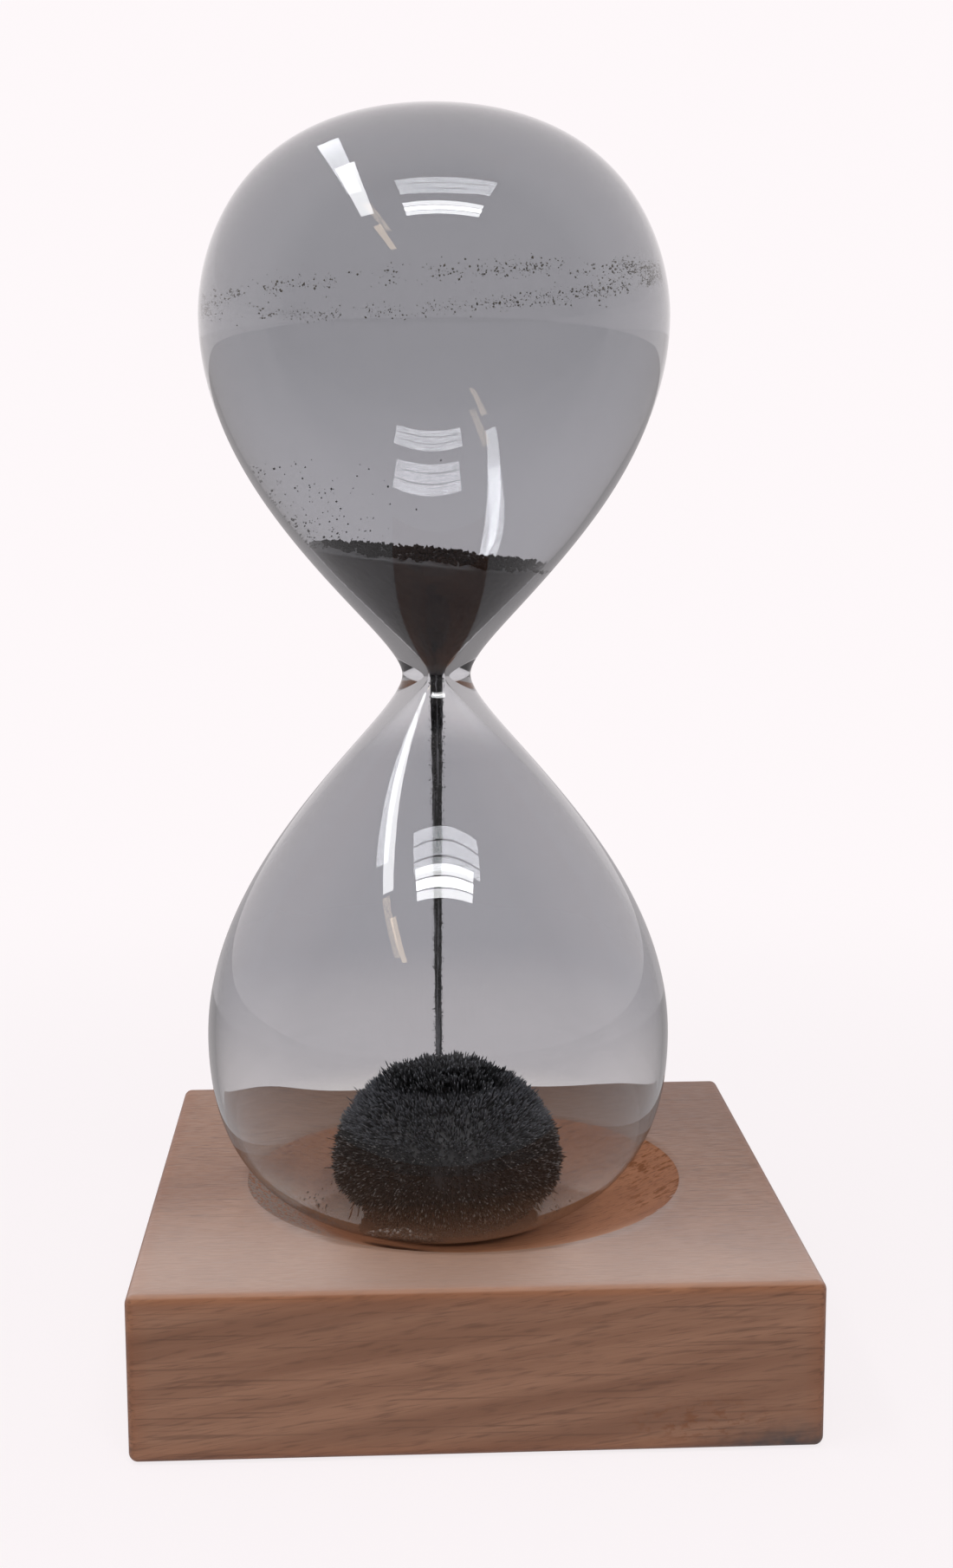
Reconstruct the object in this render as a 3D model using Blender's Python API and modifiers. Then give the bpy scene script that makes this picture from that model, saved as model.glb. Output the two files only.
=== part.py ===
"""Magnetic hourglass: a blown glass of iron powder that stands loose in the dish of a beech block.

A disc magnet in a pocket under the dish draws the powder that has run through into a spiky mound.
Lengths are metres, +Z is up, and the origin is the centre of the block's resting face.
"""

import math
import random
from collections import namedtuple

import bmesh
import bpy
import numpy as np
from mathutils import Matrix, Vector

OBJECT_NAME = "magnetic_hourglass"

# Beech block
BASE_WIDTH = 0.080
BASE_DEPTH = 0.080
BASE_HEIGHT = 0.020
BASE_EDGE_RADIUS = 0.0011
DISH_DIAMETER = 0.0566
DISH_DEPTH = 0.0071

# What the block holds, from the dish down to its resting face: a plug fills what is left
WOOD_OVER_MAGNET = 0.002
ADHESIVE_THICKNESS = 0.0006
MAGNET_DIAMETER = 0.030
MAGNET_THICKNESS = 0.003
PAD_LEDGE = 0.0057
PAD_THICKNESS = 0.0010
PAD_SET_BACK = 0.0003

# Glass: two bulbs blown in one piece, the lower one a little longer, wider and flatter at its end. A
# flank leads from the neck to a bulb's widest ring, and a cap closes the bulb. A run is how far a curve
# keeps its direction at one of its ends.
NECK_DIAMETER = 0.0087
NECK_RUN = 0.0056
UPPER_FLANK_HEIGHT = 0.0442
UPPER_BULB_DIAMETER = 0.0582
UPPER_CAP_HEIGHT = 0.0254
LOWER_FLANK_HEIGHT = 0.0464
LOWER_BULB_DIAMETER = 0.0596
LOWER_CAP_HEIGHT = 0.0258
FLANK_RUN = 0.0232
UPPER_SHOULDER_RUN = 0.0085
UPPER_CAP_RUN = 0.0240
LOWER_SHOULDER_RUN = 0.0105
LOWER_CAP_RUN = 0.0270
SIDE_WALL = 0.0012
CAP_WALL = 0.0014
ORIFICE_DIAMETER = 0.0022
FUNNEL_RUN = 0.0036
FILL_HOLE_DIAMETER = 0.0040
GLASS_OFF_CENTRE = -0.0032

# Iron powder, with heights above the neck for the heap and above the glass for the mound
HEAP_LEVEL = 0.0145
HEAP_TILT = math.radians(6.5)
HEAP_FOOT = 0.0026
STREAM_CLEARANCE = 0.0004
STREAM_END_DIAMETER = 0.0009
MOUND_DIAMETER = 0.0276
MOUND_HEIGHT = 0.0186
MOUND_FOOT_DIAMETER = 0.0210
MOUND_WIDEST = 0.0066
MOUND_CROWN_RUN = 0.0074
MOUND_FLANK_RUN = 0.0066
SPIKE_LENGTH = 0.0017
SHORTEST_SPIKE = 0.0009
SPIKE_SEED = 7
CLUMP_LENGTH = 0.0096
CLUMP_DEPTH = 0.0034
CLUMP_HEIGHT = 0.0024
CLUMP_BEARING = math.radians(253.0)

# Clearances
FIT_GAP = 0.0003
CUTTER_PAST = 0.002
MERGE_DISTANCE = 0.00001

# Facets
TURN_STEPS = 40
FLANK_STEPS = 9
CAP_STEPS = 8
DISH_STEPS = 8
EDGE_STEPS = 3
SPIKE_COLUMNS = 40
CROWN_STEPS = 8
TUCK_STEPS = 4
STREAM_SIDES = 12
CLUMP_SEGMENTS = 14
CLUMP_RINGS = 8
SHARP_ANGLE = math.radians(35.0)

# Heights and radii that the pieces share
DISH_FLOOR = BASE_HEIGHT - DISH_DEPTH
DISH_BALL_RADIUS = ((DISH_DIAMETER / 2) ** 2 + DISH_DEPTH ** 2) / (2 * DISH_DEPTH)
POCKET_ROOF = DISH_FLOOR - WOOD_OVER_MAGNET
ADHESIVE_TOP = POCKET_ROOF - FIT_GAP
MAGNET_TOP = ADHESIVE_TOP - ADHESIVE_THICKNESS - FIT_GAP
PLUG_TOP = MAGNET_TOP - MAGNET_THICKNESS - FIT_GAP
PAD_TOP = PAD_SET_BACK + PAD_THICKNESS
PAD_SEAT = PAD_TOP + FIT_GAP
POCKET_RADIUS = MAGNET_DIAMETER / 2 + FIT_GAP
PAD_RADIUS = POCKET_RADIUS + PAD_LEDGE

Bulb = namedtuple("Bulb", "flank_height radius length shoulder_run cap_run")
UPPER_BULB = Bulb(
    UPPER_FLANK_HEIGHT, UPPER_BULB_DIAMETER / 2, UPPER_FLANK_HEIGHT + UPPER_CAP_HEIGHT,
    UPPER_SHOULDER_RUN, UPPER_CAP_RUN)
LOWER_BULB = Bulb(
    LOWER_FLANK_HEIGHT, LOWER_BULB_DIAMETER / 2, LOWER_FLANK_HEIGHT + LOWER_CAP_HEIGHT,
    LOWER_SHOULDER_RUN, LOWER_CAP_RUN)


def clear_scene():
    """Remove every object that the opened file holds."""
    for item in list(bpy.data.objects):
        bpy.data.objects.remove(item, do_unlink=True)


def collection(name):
    """A collection under the scene, made once."""
    found = bpy.data.collections.get(name)
    if found is None:
        found = bpy.data.collections.new(name)
        bpy.context.scene.collection.children.link(found)
    return found


def material(name, colour, roughness, metallic=0.0, transmission=0.0):
    """A plain Principled finish."""
    made = bpy.data.materials.new(name)
    made.use_nodes = True
    shader = made.node_tree.nodes["Principled BSDF"]
    shader.inputs["Base Color"].default_value = (*colour, 1.0)
    shader.inputs["Roughness"].default_value = roughness
    shader.inputs["Metallic"].default_value = metallic
    shader.inputs["Transmission Weight"].default_value = transmission
    return made


def piece(name, mesh, finish, parent=None):
    """Put a mesh in the object's collection under its own name and finish."""
    made = bpy.data.objects.new(name, mesh)
    collection(OBJECT_NAME).objects.link(made)
    made.data.materials.append(finish)
    made.parent = parent
    return made


def cutter(name, mesh):
    """A shape that only cuts: wire in the view and left out of renders."""
    made = bpy.data.objects.new(name, mesh)
    collection(OBJECT_NAME + "_cutters").objects.link(made)
    made.display_type = "WIRE"
    made.hide_render = True
    return made


def cut(target, tool):
    """Subtract a cutter."""
    boolean = target.modifiers.new(tool.name, "BOOLEAN")
    boolean.operation = "DIFFERENCE"
    boolean.object = tool


def mesh_from(shape, name):
    """Turn a bmesh into a mesh, smooth up to the sharp angle."""
    mesh = bpy.data.meshes.new(name)
    shape.to_mesh(mesh)
    shape.free()
    mesh.shade_smooth()
    mesh.set_sharp_from_angle(angle=SHARP_ANGLE)
    return mesh


def outline_mesh(name, points):
    """An open outline in the XZ plane, from (radius, height) points."""
    mesh = bpy.data.meshes.new(name)
    rows = [(radius, 0.0, height) for radius, height in points]
    mesh.from_pydata(rows, [(i, i + 1) for i in range(len(rows) - 1)], [])
    return mesh


def turn(made, steps):
    """Turn an object's outline about Z."""
    screw = made.modifiers.new("turned", "SCREW")
    screw.steps = steps
    screw.render_steps = steps
    screw.use_merge_vertices = True
    screw.merge_threshold = MERGE_DISTANCE
    screw.use_smooth_shade = True


def turned_bmesh(points, steps):
    """A turned outline as a bmesh, for shapes that are worked on further."""
    guide = bpy.data.objects.new("turned_guide", outline_mesh("turned_guide", points))
    bpy.context.scene.collection.objects.link(guide)
    turn(guide, steps)
    graph = bpy.context.evaluated_depsgraph_get()
    mesh = bpy.data.meshes.new_from_object(guide.evaluated_get(graph))
    shape = bmesh.new()
    shape.from_mesh(mesh)
    bpy.data.objects.remove(guide, do_unlink=True)
    bpy.data.meshes.remove(mesh)
    return shape


def cylinder(name, low_radius, top_radius, low, top, sides):
    """A capped cylinder or cone on Z between two heights."""
    shape = bmesh.new()
    middle = Matrix.Translation((0.0, 0.0, (low + top) / 2))
    bmesh.ops.create_cone(
        shape, cap_ends=True, segments=sides, radius1=low_radius, radius2=top_radius,
        depth=top - low, matrix=middle)
    return mesh_from(shape, name)


def bezier(start, leave, arrive, end, steps):
    """Points along a cubic curve in (radius, height)."""
    t = np.linspace(0.0, 1.0, steps + 1)[:, None]
    corners = [np.array(corner) for corner in (start, leave, arrive, end)]
    weights = ((1 - t) ** 3, 3 * t * (1 - t) ** 2, 3 * t ** 2 * (1 - t), t ** 3)
    return sum(weight * corner for weight, corner in zip(weights, corners))


def bulb_outline(bulb, neck_radius, neck_run):
    """One bulb's surface, from the neck plane out to the bulb's pole."""
    widest = (bulb.radius, bulb.flank_height)
    flank = bezier(
        (neck_radius, 0.0), (neck_radius, neck_run),
        (bulb.radius, bulb.flank_height - FLANK_RUN), widest, FLANK_STEPS)
    cap = bezier(
        widest, (bulb.radius, bulb.flank_height + bulb.shoulder_run),
        (bulb.cap_run, bulb.length), (0.0, bulb.length), CAP_STEPS)
    return np.vstack([flank, cap[1:]])


def outer_outline(bulb):
    """A bulb's outside."""
    return bulb_outline(bulb, NECK_DIAMETER / 2, NECK_RUN)


def inner_outline(bulb):
    """A bulb's inside, which draws in to the orifice as a funnel."""
    hollow = bulb._replace(radius=bulb.radius - SIDE_WALL, length=bulb.length - CAP_WALL)
    return bulb_outline(hollow, ORIFICE_DIAMETER / 2, FUNNEL_RUN)


def end_at_radius(outline, radius):
    """An outline that stops where its cap comes in to a radius."""
    cap = outline[FLANK_STEPS:]
    height = np.interp(radius, cap[::-1, 0], cap[::-1, 1])
    kept = outline[:FLANK_STEPS + np.count_nonzero(cap[:, 0] > radius)]
    return np.vstack([kept, (radius, height)])


def pulled_in(outline, gap):
    """An outline moved by a gap towards the space that it encloses."""
    run = np.gradient(outline, axis=0)
    run = run / np.linalg.norm(run, axis=1)[:, None]
    moved = outline + gap * np.column_stack([-run[:, 1], run[:, 0]])
    moved[:, 0] = np.maximum(moved[:, 0], 0.0)
    return moved


def upside_down(outline):
    """The same outline in the lower bulb."""
    return outline * (1.0, -1.0)


def floor_outline(radius):
    """What lies on the inside of the lower cap: its outline from a radius in to the axis."""
    cap = pulled_in(inner_outline(LOWER_BULB), FIT_GAP)[FLANK_STEPS:]
    height = np.interp(radius, cap[::-1, 0], cap[::-1, 1])
    inside = cap[cap[:, 0] < radius]
    return upside_down(np.vstack([(radius, height), inside]))


def base_block():
    """Beech block with rounded edges, the dish on top and the magnet's pocket below."""
    shape = bmesh.new()
    bmesh.ops.create_cube(shape, size=1.0)
    bmesh.ops.scale(shape, vec=(BASE_WIDTH, BASE_DEPTH, BASE_HEIGHT), verts=shape.verts)
    bmesh.ops.translate(shape, vec=(0.0, 0.0, BASE_HEIGHT / 2), verts=shape.verts)
    beech = material("beech", (0.40, 0.26, 0.18), 0.55)
    block = piece("base_block", mesh_from(shape, "base_block"), beech)
    rounding = block.modifiers.new("rounded_edges", "BEVEL")
    rounding.width = BASE_EDGE_RADIUS
    rounding.segments = EDGE_STEPS
    rounding.limit_method = "ANGLE"
    cut(block, dish_cutter())
    cut(block, pocket_cutter())


def dish_cutter():
    """Lower cap of a large ball, with a wall that rises out of the block."""
    dips = np.linspace(math.asin(DISH_DIAMETER / 2 / DISH_BALL_RADIUS), 0.0, DISH_STEPS + 1)
    bowl = [
        (DISH_BALL_RADIUS * math.sin(dip), DISH_FLOOR + DISH_BALL_RADIUS * (1 - math.cos(dip)))
        for dip in dips]
    above = BASE_HEIGHT + CUTTER_PAST
    made = cutter("dish_cutter", outline_mesh(
        "dish_cutter", [(0.0, above), (DISH_DIAMETER / 2, above), *bowl]))
    turn(made, TURN_STEPS)
    return made


def pocket_cutter():
    """Bore for the magnet, with a wider step for the pad at the resting face."""
    pad_radius = PAD_RADIUS + FIT_GAP
    made = cutter("pocket_cutter", outline_mesh("pocket_cutter", [
        (0.0, POCKET_ROOF), (POCKET_RADIUS, POCKET_ROOF), (POCKET_RADIUS, PAD_SEAT),
        (pad_radius, PAD_SEAT), (pad_radius, -CUTTER_PAST), (0.0, -CUTTER_PAST)]))
    turn(made, TURN_STEPS)
    return made


def magnet_stack():
    """Adhesive, magnet, wooden plug and felt pad, in that order down the pocket."""
    magnet_radius = MAGNET_DIAMETER / 2
    layers = [
        ("magnet_adhesive", magnet_radius, ADHESIVE_TOP - ADHESIVE_THICKNESS, ADHESIVE_TOP,
         material("clear_adhesive", (0.62, 0.56, 0.42), 0.35)),
        ("magnet", magnet_radius, MAGNET_TOP - MAGNET_THICKNESS, MAGNET_TOP,
         material("nickel_plate", (0.62, 0.61, 0.58), 0.22, metallic=1.0)),
        ("pocket_plug", magnet_radius, PAD_SEAT, PLUG_TOP,
         material("plug_beech", (0.44, 0.30, 0.21), 0.6)),
        ("felt_pad", PAD_RADIUS, PAD_SET_BACK, PAD_TOP,
         material("grey_felt", (0.10, 0.10, 0.11), 0.95))]
    for name, radius, low, top, finish in layers:
        piece(name, cylinder(name, radius, radius, low, top, TURN_STEPS), finish)


def block_top(radius):
    """Height of the block's upper face at a distance from the dish's axis."""
    across = np.minimum(radius, DISH_DIAMETER / 2)
    return DISH_FLOOR + DISH_BALL_RADIUS - np.sqrt(DISH_BALL_RADIUS ** 2 - across ** 2)


def neck_height():
    """Where the neck stands once the lower bulb has settled into the dish, off its centre."""
    radius, below_neck = outer_outline(LOWER_BULB).T
    return float(np.max(block_top(radius + abs(GLASS_OFF_CENTRE)) + below_neck)) + FIT_GAP


def glass_axis():
    """The line that the glass is lifted along, at the height of its neck."""
    axis = bpy.data.objects.new("glass_axis", None)
    collection(OBJECT_NAME).objects.link(axis)
    axis.location = (GLASS_OFF_CENTRE, 0.0, neck_height())
    return axis


def glass_vessel(axis, clear_glass):
    """Both bulbs and their neck in one wall, open only at the fill hole in the lower cap."""
    hole = FILL_HOLE_DIAMETER / 2
    outside = np.vstack([
        outer_outline(UPPER_BULB)[:0:-1], upside_down(end_at_radius(outer_outline(LOWER_BULB), hole))])
    inside = np.vstack([
        upside_down(end_at_radius(inner_outline(LOWER_BULB), hole))[:0:-1], inner_outline(UPPER_BULB)])
    outline = outline_mesh("glass_vessel", np.vstack([outside, inside]).tolist())
    turn(piece("glass_vessel", outline, clear_glass, axis), TURN_STEPS)


def fill_seal(axis, clear_glass):
    """Glass button melted into the fill hole, flush with both faces of the lower cap."""
    radius = FILL_HOLE_DIAMETER / 2 - FIT_GAP
    low = -LOWER_BULB.length
    mesh = cylinder("fill_seal", radius, radius, low, low + CAP_WALL, STREAM_SIDES)
    piece("fill_seal", mesh, clear_glass, axis)


def upper_powder(axis, powder):
    """What has yet to run: a plug of powder in the funnel, with a tilted top."""
    funnel = pulled_in(inner_outline(UPPER_BULB), FIT_GAP)[:FLANK_STEPS + 1]
    top = HEAP_LEVEL + UPPER_BULB.radius * math.tan(HEAP_TILT)
    heights = np.linspace(top, HEAP_FOOT, FLANK_STEPS + 1)
    side = np.column_stack([np.interp(heights, funnel[:, 1], funnel[:, 0]), heights])
    outline = [(0.0, top), *side.tolist(), (0.0, HEAP_FOOT)]
    shape = turned_bmesh(outline, TURN_STEPS)
    level = Vector((math.sin(HEAP_TILT), 0.0, math.cos(HEAP_TILT)))
    sliced = bmesh.ops.bisect_plane(
        shape, geom=[*shape.verts, *shape.edges, *shape.faces],
        plane_co=(0.0, 0.0, HEAP_LEVEL), plane_no=level, clear_outer=True)
    rim = [edge for edge in sliced["geom_cut"] if isinstance(edge, bmesh.types.BMEdge)]
    bmesh.ops.edgeloop_fill(shape, edges=rim)
    piece("upper_powder", mesh_from(shape, "upper_powder"), powder, axis)


def mound_floor():
    """Height of the mound's underside on the axis, just clear of the glass."""
    return float(floor_outline(MOUND_FOOT_DIAMETER / 2)[-1, 1])


def powder_stream(axis, powder):
    """The thread of powder that falls from the heap's foot to the mound's tip."""
    low = mound_floor() + MOUND_HEIGHT + SPIKE_LENGTH + FIT_GAP
    mesh = cylinder(
        "powder_stream", STREAM_END_DIAMETER / 2, ORIFICE_DIAMETER / 2 - STREAM_CLEARANCE,
        low, HEAP_FOOT - FIT_GAP, STREAM_SIDES)
    piece("powder_stream", mesh, powder, axis)


def mound_outline():
    """The mound without its spikes, from its crown down and in along the glass."""
    foot = floor_outline(MOUND_FOOT_DIAMETER / 2)
    radius = MOUND_DIAMETER / 2
    crown = mound_floor() + MOUND_HEIGHT
    widest = mound_floor() + MOUND_WIDEST
    dome = bezier(
        (0.0, crown), (MOUND_CROWN_RUN, crown), (radius, widest + MOUND_FLANK_RUN),
        (radius, widest), CROWN_STEPS)
    tuck_middle = (widest + foot[0, 1]) / 2
    tuck = bezier(
        (radius, widest), (radius, tuck_middle), (foot[0, 0], tuck_middle), foot[0], TUCK_STEPS)
    return np.vstack([dome, tuck[1:], foot[1:]])


def powder_mound(axis, powder):
    """Powder drawn up over the magnet, with a pyramid of powder on every facet clear of the glass."""
    shape = turned_bmesh(mound_outline().tolist(), SPIKE_COLUMNS)
    lowest_spike = floor_outline(MOUND_FOOT_DIAMETER / 2)[0, 1] + SPIKE_LENGTH
    facets = [face for face in shape.faces if face.calc_center_median().z > lowest_spike]
    draw = random.Random(SPIKE_SEED)
    for face in facets:
        outward = face.normal * draw.uniform(SHORTEST_SPIKE, SPIKE_LENGTH)
        tip = bmesh.ops.poke(shape, faces=[face])["verts"][0]
        tip.co += outward
    piece("powder_mound", mesh_from(shape, "powder_mound"), powder, axis)


def powder_clump(axis, powder):
    """A few grains that lie by themselves on the lower cap, in front of the mound."""
    away = MOUND_DIAMETER / 2 + SPIKE_LENGTH + FIT_GAP + CLUMP_DEPTH / 2
    floor, floor_before = floor_outline(away)[0, 1], floor_outline(away - CLUMP_DEPTH / 2)[0, 1]
    slope = math.atan2(floor - floor_before, CLUMP_DEPTH / 2)
    shape = bmesh.new()
    bmesh.ops.create_uvsphere(
        shape, u_segments=CLUMP_SEGMENTS, v_segments=CLUMP_RINGS, radius=0.5)
    bmesh.ops.scale(shape, vec=(CLUMP_DEPTH, CLUMP_LENGTH, CLUMP_HEIGHT), verts=shape.verts)
    bmesh.ops.translate(shape, vec=(0.0, 0.0, CLUMP_HEIGHT / 2), verts=shape.verts)
    on_slope = Matrix.Translation((away, 0.0, floor)) @ Matrix.Rotation(-slope, 4, "Y")
    place = Matrix.Rotation(CLUMP_BEARING, 4, "Z") @ on_slope
    bmesh.ops.transform(shape, matrix=place, verts=shape.verts)
    piece("powder_clump", mesh_from(shape, "powder_clump"), powder, axis)


def main():
    """Build the block with its magnet, then the glass and its powder on the lifting axis."""
    clear_scene()
    base_block()
    magnet_stack()
    axis = glass_axis()
    clear_glass = material("clear_glass", (0.95, 0.96, 0.97), 0.03, transmission=1.0)
    glass_vessel(axis, clear_glass)
    fill_seal(axis, clear_glass)
    powder = material("iron_powder", (0.025, 0.025, 0.028), 0.7, metallic=0.3)
    upper_powder(axis, powder)
    powder_stream(axis, powder)
    powder_mound(axis, powder)
    powder_clump(axis, powder)


main()
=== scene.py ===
"""Finished look of a magnetic hourglass: a beech block, a blown glass and the iron powder in it.

Lengths are metres, +Z is up, and the origin is the middle of the block's resting face.
"""

import math
from collections import namedtuple

import bpy
import numpy as np
from mathutils import Matrix, Vector


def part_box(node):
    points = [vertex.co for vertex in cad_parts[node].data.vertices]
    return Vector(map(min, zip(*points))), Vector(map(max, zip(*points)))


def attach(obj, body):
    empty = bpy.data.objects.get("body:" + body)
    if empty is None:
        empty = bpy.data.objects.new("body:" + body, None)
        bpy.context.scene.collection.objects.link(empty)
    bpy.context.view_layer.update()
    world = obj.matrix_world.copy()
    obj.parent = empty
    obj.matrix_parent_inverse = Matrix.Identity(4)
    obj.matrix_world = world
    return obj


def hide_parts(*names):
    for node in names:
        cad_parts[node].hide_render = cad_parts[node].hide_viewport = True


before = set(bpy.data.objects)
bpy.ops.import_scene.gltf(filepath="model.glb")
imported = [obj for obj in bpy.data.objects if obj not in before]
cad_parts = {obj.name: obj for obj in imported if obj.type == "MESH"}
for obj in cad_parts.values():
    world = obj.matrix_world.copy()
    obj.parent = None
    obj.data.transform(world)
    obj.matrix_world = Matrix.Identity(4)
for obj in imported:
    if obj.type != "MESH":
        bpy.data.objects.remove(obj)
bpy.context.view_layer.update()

bl_info = {
    "name": "Magnetic Hourglass",
    "version": (1, 0, 0),
    "blender": (4, 5, 0),
    "location": "3D View > Sidebar > Hourglass",
    "description": "Builds the block, the glass and the iron powder of a magnetic hourglass",
    "category": "Add Mesh",
}

# Places that the frame gives
BLOCK_LOW, BLOCK_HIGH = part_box("base_block")
GLASS_LOW, GLASS_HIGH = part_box("glass_vessel")
PAD_LOW, PAD_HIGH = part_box("felt_pad")
SEAL_LOW, SEAL_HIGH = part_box("fill_seal")
ADHESIVE_LOW, ADHESIVE_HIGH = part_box("magnet_adhesive")
STREAM_LOW, STREAM_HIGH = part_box("powder_stream")
MOUND_LOW, MOUND_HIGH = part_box("powder_mound")
CLUMP_LOW, CLUMP_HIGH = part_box("powder_clump")
BLOCK_HALF = (BLOCK_HIGH.x - BLOCK_LOW.x) / 2
GLASS_X = (GLASS_LOW.x + GLASS_HIGH.x) / 2
LOWER_RADIUS = (GLASS_HIGH.x - GLASS_LOW.x) / 2

# From the waist to each pole, the gap round a fitted piece, and how far the mound stands off the axis
UPPER_LENGTH = 0.0696
LOWER_LENGTH = 0.0722
NECK_Z = GLASS_HIGH.z - UPPER_LENGTH
FIT_GAP = 0.0003
MOUND_SHIFT = 0.0010

Bulb = namedtuple("Bulb", "flank_height radius length shoulder_run cap_run")
Oval = namedtuple("Oval", "x z half_width half_height")
Lamp = namedtuple("Lamp", "name x y wide deep turn share tint")

# Marks on the block: bearings in the dish, in degrees from +X, and ovals on the front face
DUST_BEARING = 198.0
TEAR_BEARINGS = (14.0, -13.0)
SMUDGE = Oval(0.038, 0.0, 0.017, 0.0042)
FLAKES = Oval(0.026, 0.0035, 0.012, 0.0035)

# What the wood's colour is multiplied by in the dish, for its end grain's tone and for painted light that
# brightens it, and on the rounded edges
DISH_TONE_AND_LIGHT = (1.25, 1.06, 0.92, 1.0)
EDGE_TONE = (0.98, 0.84, 0.72, 1.0)

# Between which heights the glass changes its painted grey, and between which shares of its height the mound
# changes its painted reflections
FLANK_HEIGHTS = (0.034, 0.046)
UPPER_HEIGHTS = (0.108, 0.128)
WAIST_REACH = (0.003, 0.010)
SHOULDER_SHARES = (0.575, 0.605)
CROWN_SHARES = (0.850, 0.880)

# How finely each surface is drawn
GLASS_COLUMNS = 144
FLANK_STEPS = 56
CAP_STEPS = 40
SIDE_COLUMNS = 72
CORNER_COLUMNS = 7
DISH_ROWS = 44
EDGE_ROWS = 7
FLAT_ROWS = 12
PAD_COLUMNS = 120
PAD_EDGE_ROWS = 13
PAD_FLAT_ROWS = 30
SEAL_COLUMNS = 48
SEAL_RIM_ROWS = 6
HEAP_COLUMNS = 300
HEAP_SIDE_ROWS = 56
HEAP_TOP_ROWS = 60
RIM_PASSES = 12          # rounds in which the heap's rim settles on the glass
STREAM_COLUMNS = 18
STREAM_ROWS = 220
MOUND_COLUMNS = 160
MOUND_ROWS = 90
LATTICE = 32             # cells along each side of the block of random values
SUPPORT = 0.00006        # how near a sharp edge its supporting rings lie

# How many loose grains each place has, and how many grains of a finish go into a metre
HEAP_GRAINS = 3000
STREAM_GRAINS = 1300
CLUMP_GRAINS = 900
WALL_GRAINS = 260
RING_GRAINS = 5200
FLOOR_GRAINS = 420
POWDER_GRIT = 4200.0
CRUMB_GRIT = 3000.0
NEEDLE_GRIT = 3600.0
DUST_GRIT = 9000.0

# Where powder lies: the stream's widest radius, the clump's half sizes, the bearing of the wall's grains and
# its spread in degrees, and the height of the tide mark over the waist and its tilt
STREAM_LIMIT = 0.00095
CLUMP_HALF_WIDTH = 0.0051
CLUMP_HALF_DEPTH = 0.0019
WALL_BEARING = 216.0
WALL_SPREAD = 18.0
TIDE_HEIGHT = 0.0474
TIDE_TILT = 0.0019

# The stage. Its lamps are a barred panel in front, a long tube on the left and a warm tube before it, on one
# ceiling. Their places and sizes are in lamp heights from the waist, their turns in degrees.
FLOOR_HALF = 3.0
FLOOR_DROP = 0.0002
LAMP_GAP = 0.002
SENSOR_LENGTH = 36.0
WHITE, WARM = (0.97, 0.98, 1.0), (1.0, 0.78, 0.52)
LAMPS = (
    Lamp("panel_0", 0.06, -0.654, 0.66, 0.060, 0.0, 1.2, WHITE),
    Lamp("panel_1", 0.06, -0.722, 0.66, 0.060, 0.0, 2.6, WHITE),
    Lamp("panel_2", 0.06, -0.790, 0.66, 0.060, 0.0, 1.2, WHITE),
    Lamp("tube", -0.540, -0.28, 0.13, 0.77, -9.3, 1.0, WHITE),
    Lamp("warm_tube", -0.59, -1.17, 0.085, 0.60, 0.0, 0.45, WARM))

EIGHT_SIDED = np.array([(1, 0, 0), (0, 1, 0), (-1, 0, 0), (0, -1, 0), (0, 0, 1), (0, 0, -1)], float)
EIGHT_FACES = np.array([
    (0, 1, 4), (1, 2, 4), (2, 3, 4), (3, 0, 4), (1, 0, 5), (2, 1, 5), (3, 2, 5), (0, 3, 5)])


# Properties that a user may change

def length(name, default, about):
    """A length in metres."""
    return bpy.props.FloatProperty(
        name=name, description=about, default=default, unit="LENGTH", precision=5)


def angle(name, default, about):
    """An angle, given in degrees."""
    return bpy.props.FloatProperty(
        name=name, description=about, default=math.radians(default), unit="ROTATION")


def colour(name, default, about):
    """A linear colour."""
    return bpy.props.FloatVectorProperty(
        name=name, description=about, default=default, size=3, subtype="COLOR", min=0.0, max=1.0)


def count(name, default, about):
    """How many of something."""
    return bpy.props.IntProperty(name=name, description=about, default=default, min=1)


def amount(name, default, about):
    """A plain number."""
    return bpy.props.FloatProperty(name=name, description=about, default=default)


class HOURGLASS_PG_block(bpy.types.PropertyGroup):
    """Sizes and colours of the beech block and of what it holds."""

    dish_radius: length("Dish radius", 0.0283, "Radius of the dish at the block's upper face")
    dish_depth: length("Dish depth", 0.0071, "Depth of the dish on its axis")
    edge_radius: length("Edge radius", 0.0011, "Rounding of the block's edges")
    pale: colour("Pale wood", (0.310, 0.160, 0.094), "Wood between the growth bands")
    dark: colour("Dark wood", (0.215, 0.100, 0.055), "Wood in the growth bands")
    # Painted light: the front of the top is made paler in place of its sheen, and the front of the dish in
    # place of the light that reaches it under the glass
    bleached: colour("Bleached wood", (0.420, 0.270, 0.200), "Paler front of the top and of the dish")
    fleck: colour("Flecks", (0.105, 0.047, 0.027), "Short dark dashes along the grain")
    torn: colour("Torn grain", (0.185, 0.060, 0.016), "End grain torn by the cutter in the dish")
    dust: colour("Iron dust", (0.250, 0.215, 0.195), "Grey dust on the dish")
    stain: colour("Stain", (0.060, 0.056, 0.056), "Smudge at the foot of the front face")
    felt: colour("Felt", (0.100, 0.100, 0.108), "Felt pad under the block")
    nickel: colour("Nickel", (0.620, 0.600, 0.560), "Plating of the magnet")
    adhesive: colour("Adhesive", (0.560, 0.480, 0.330), "Set adhesive over the magnet")


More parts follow.
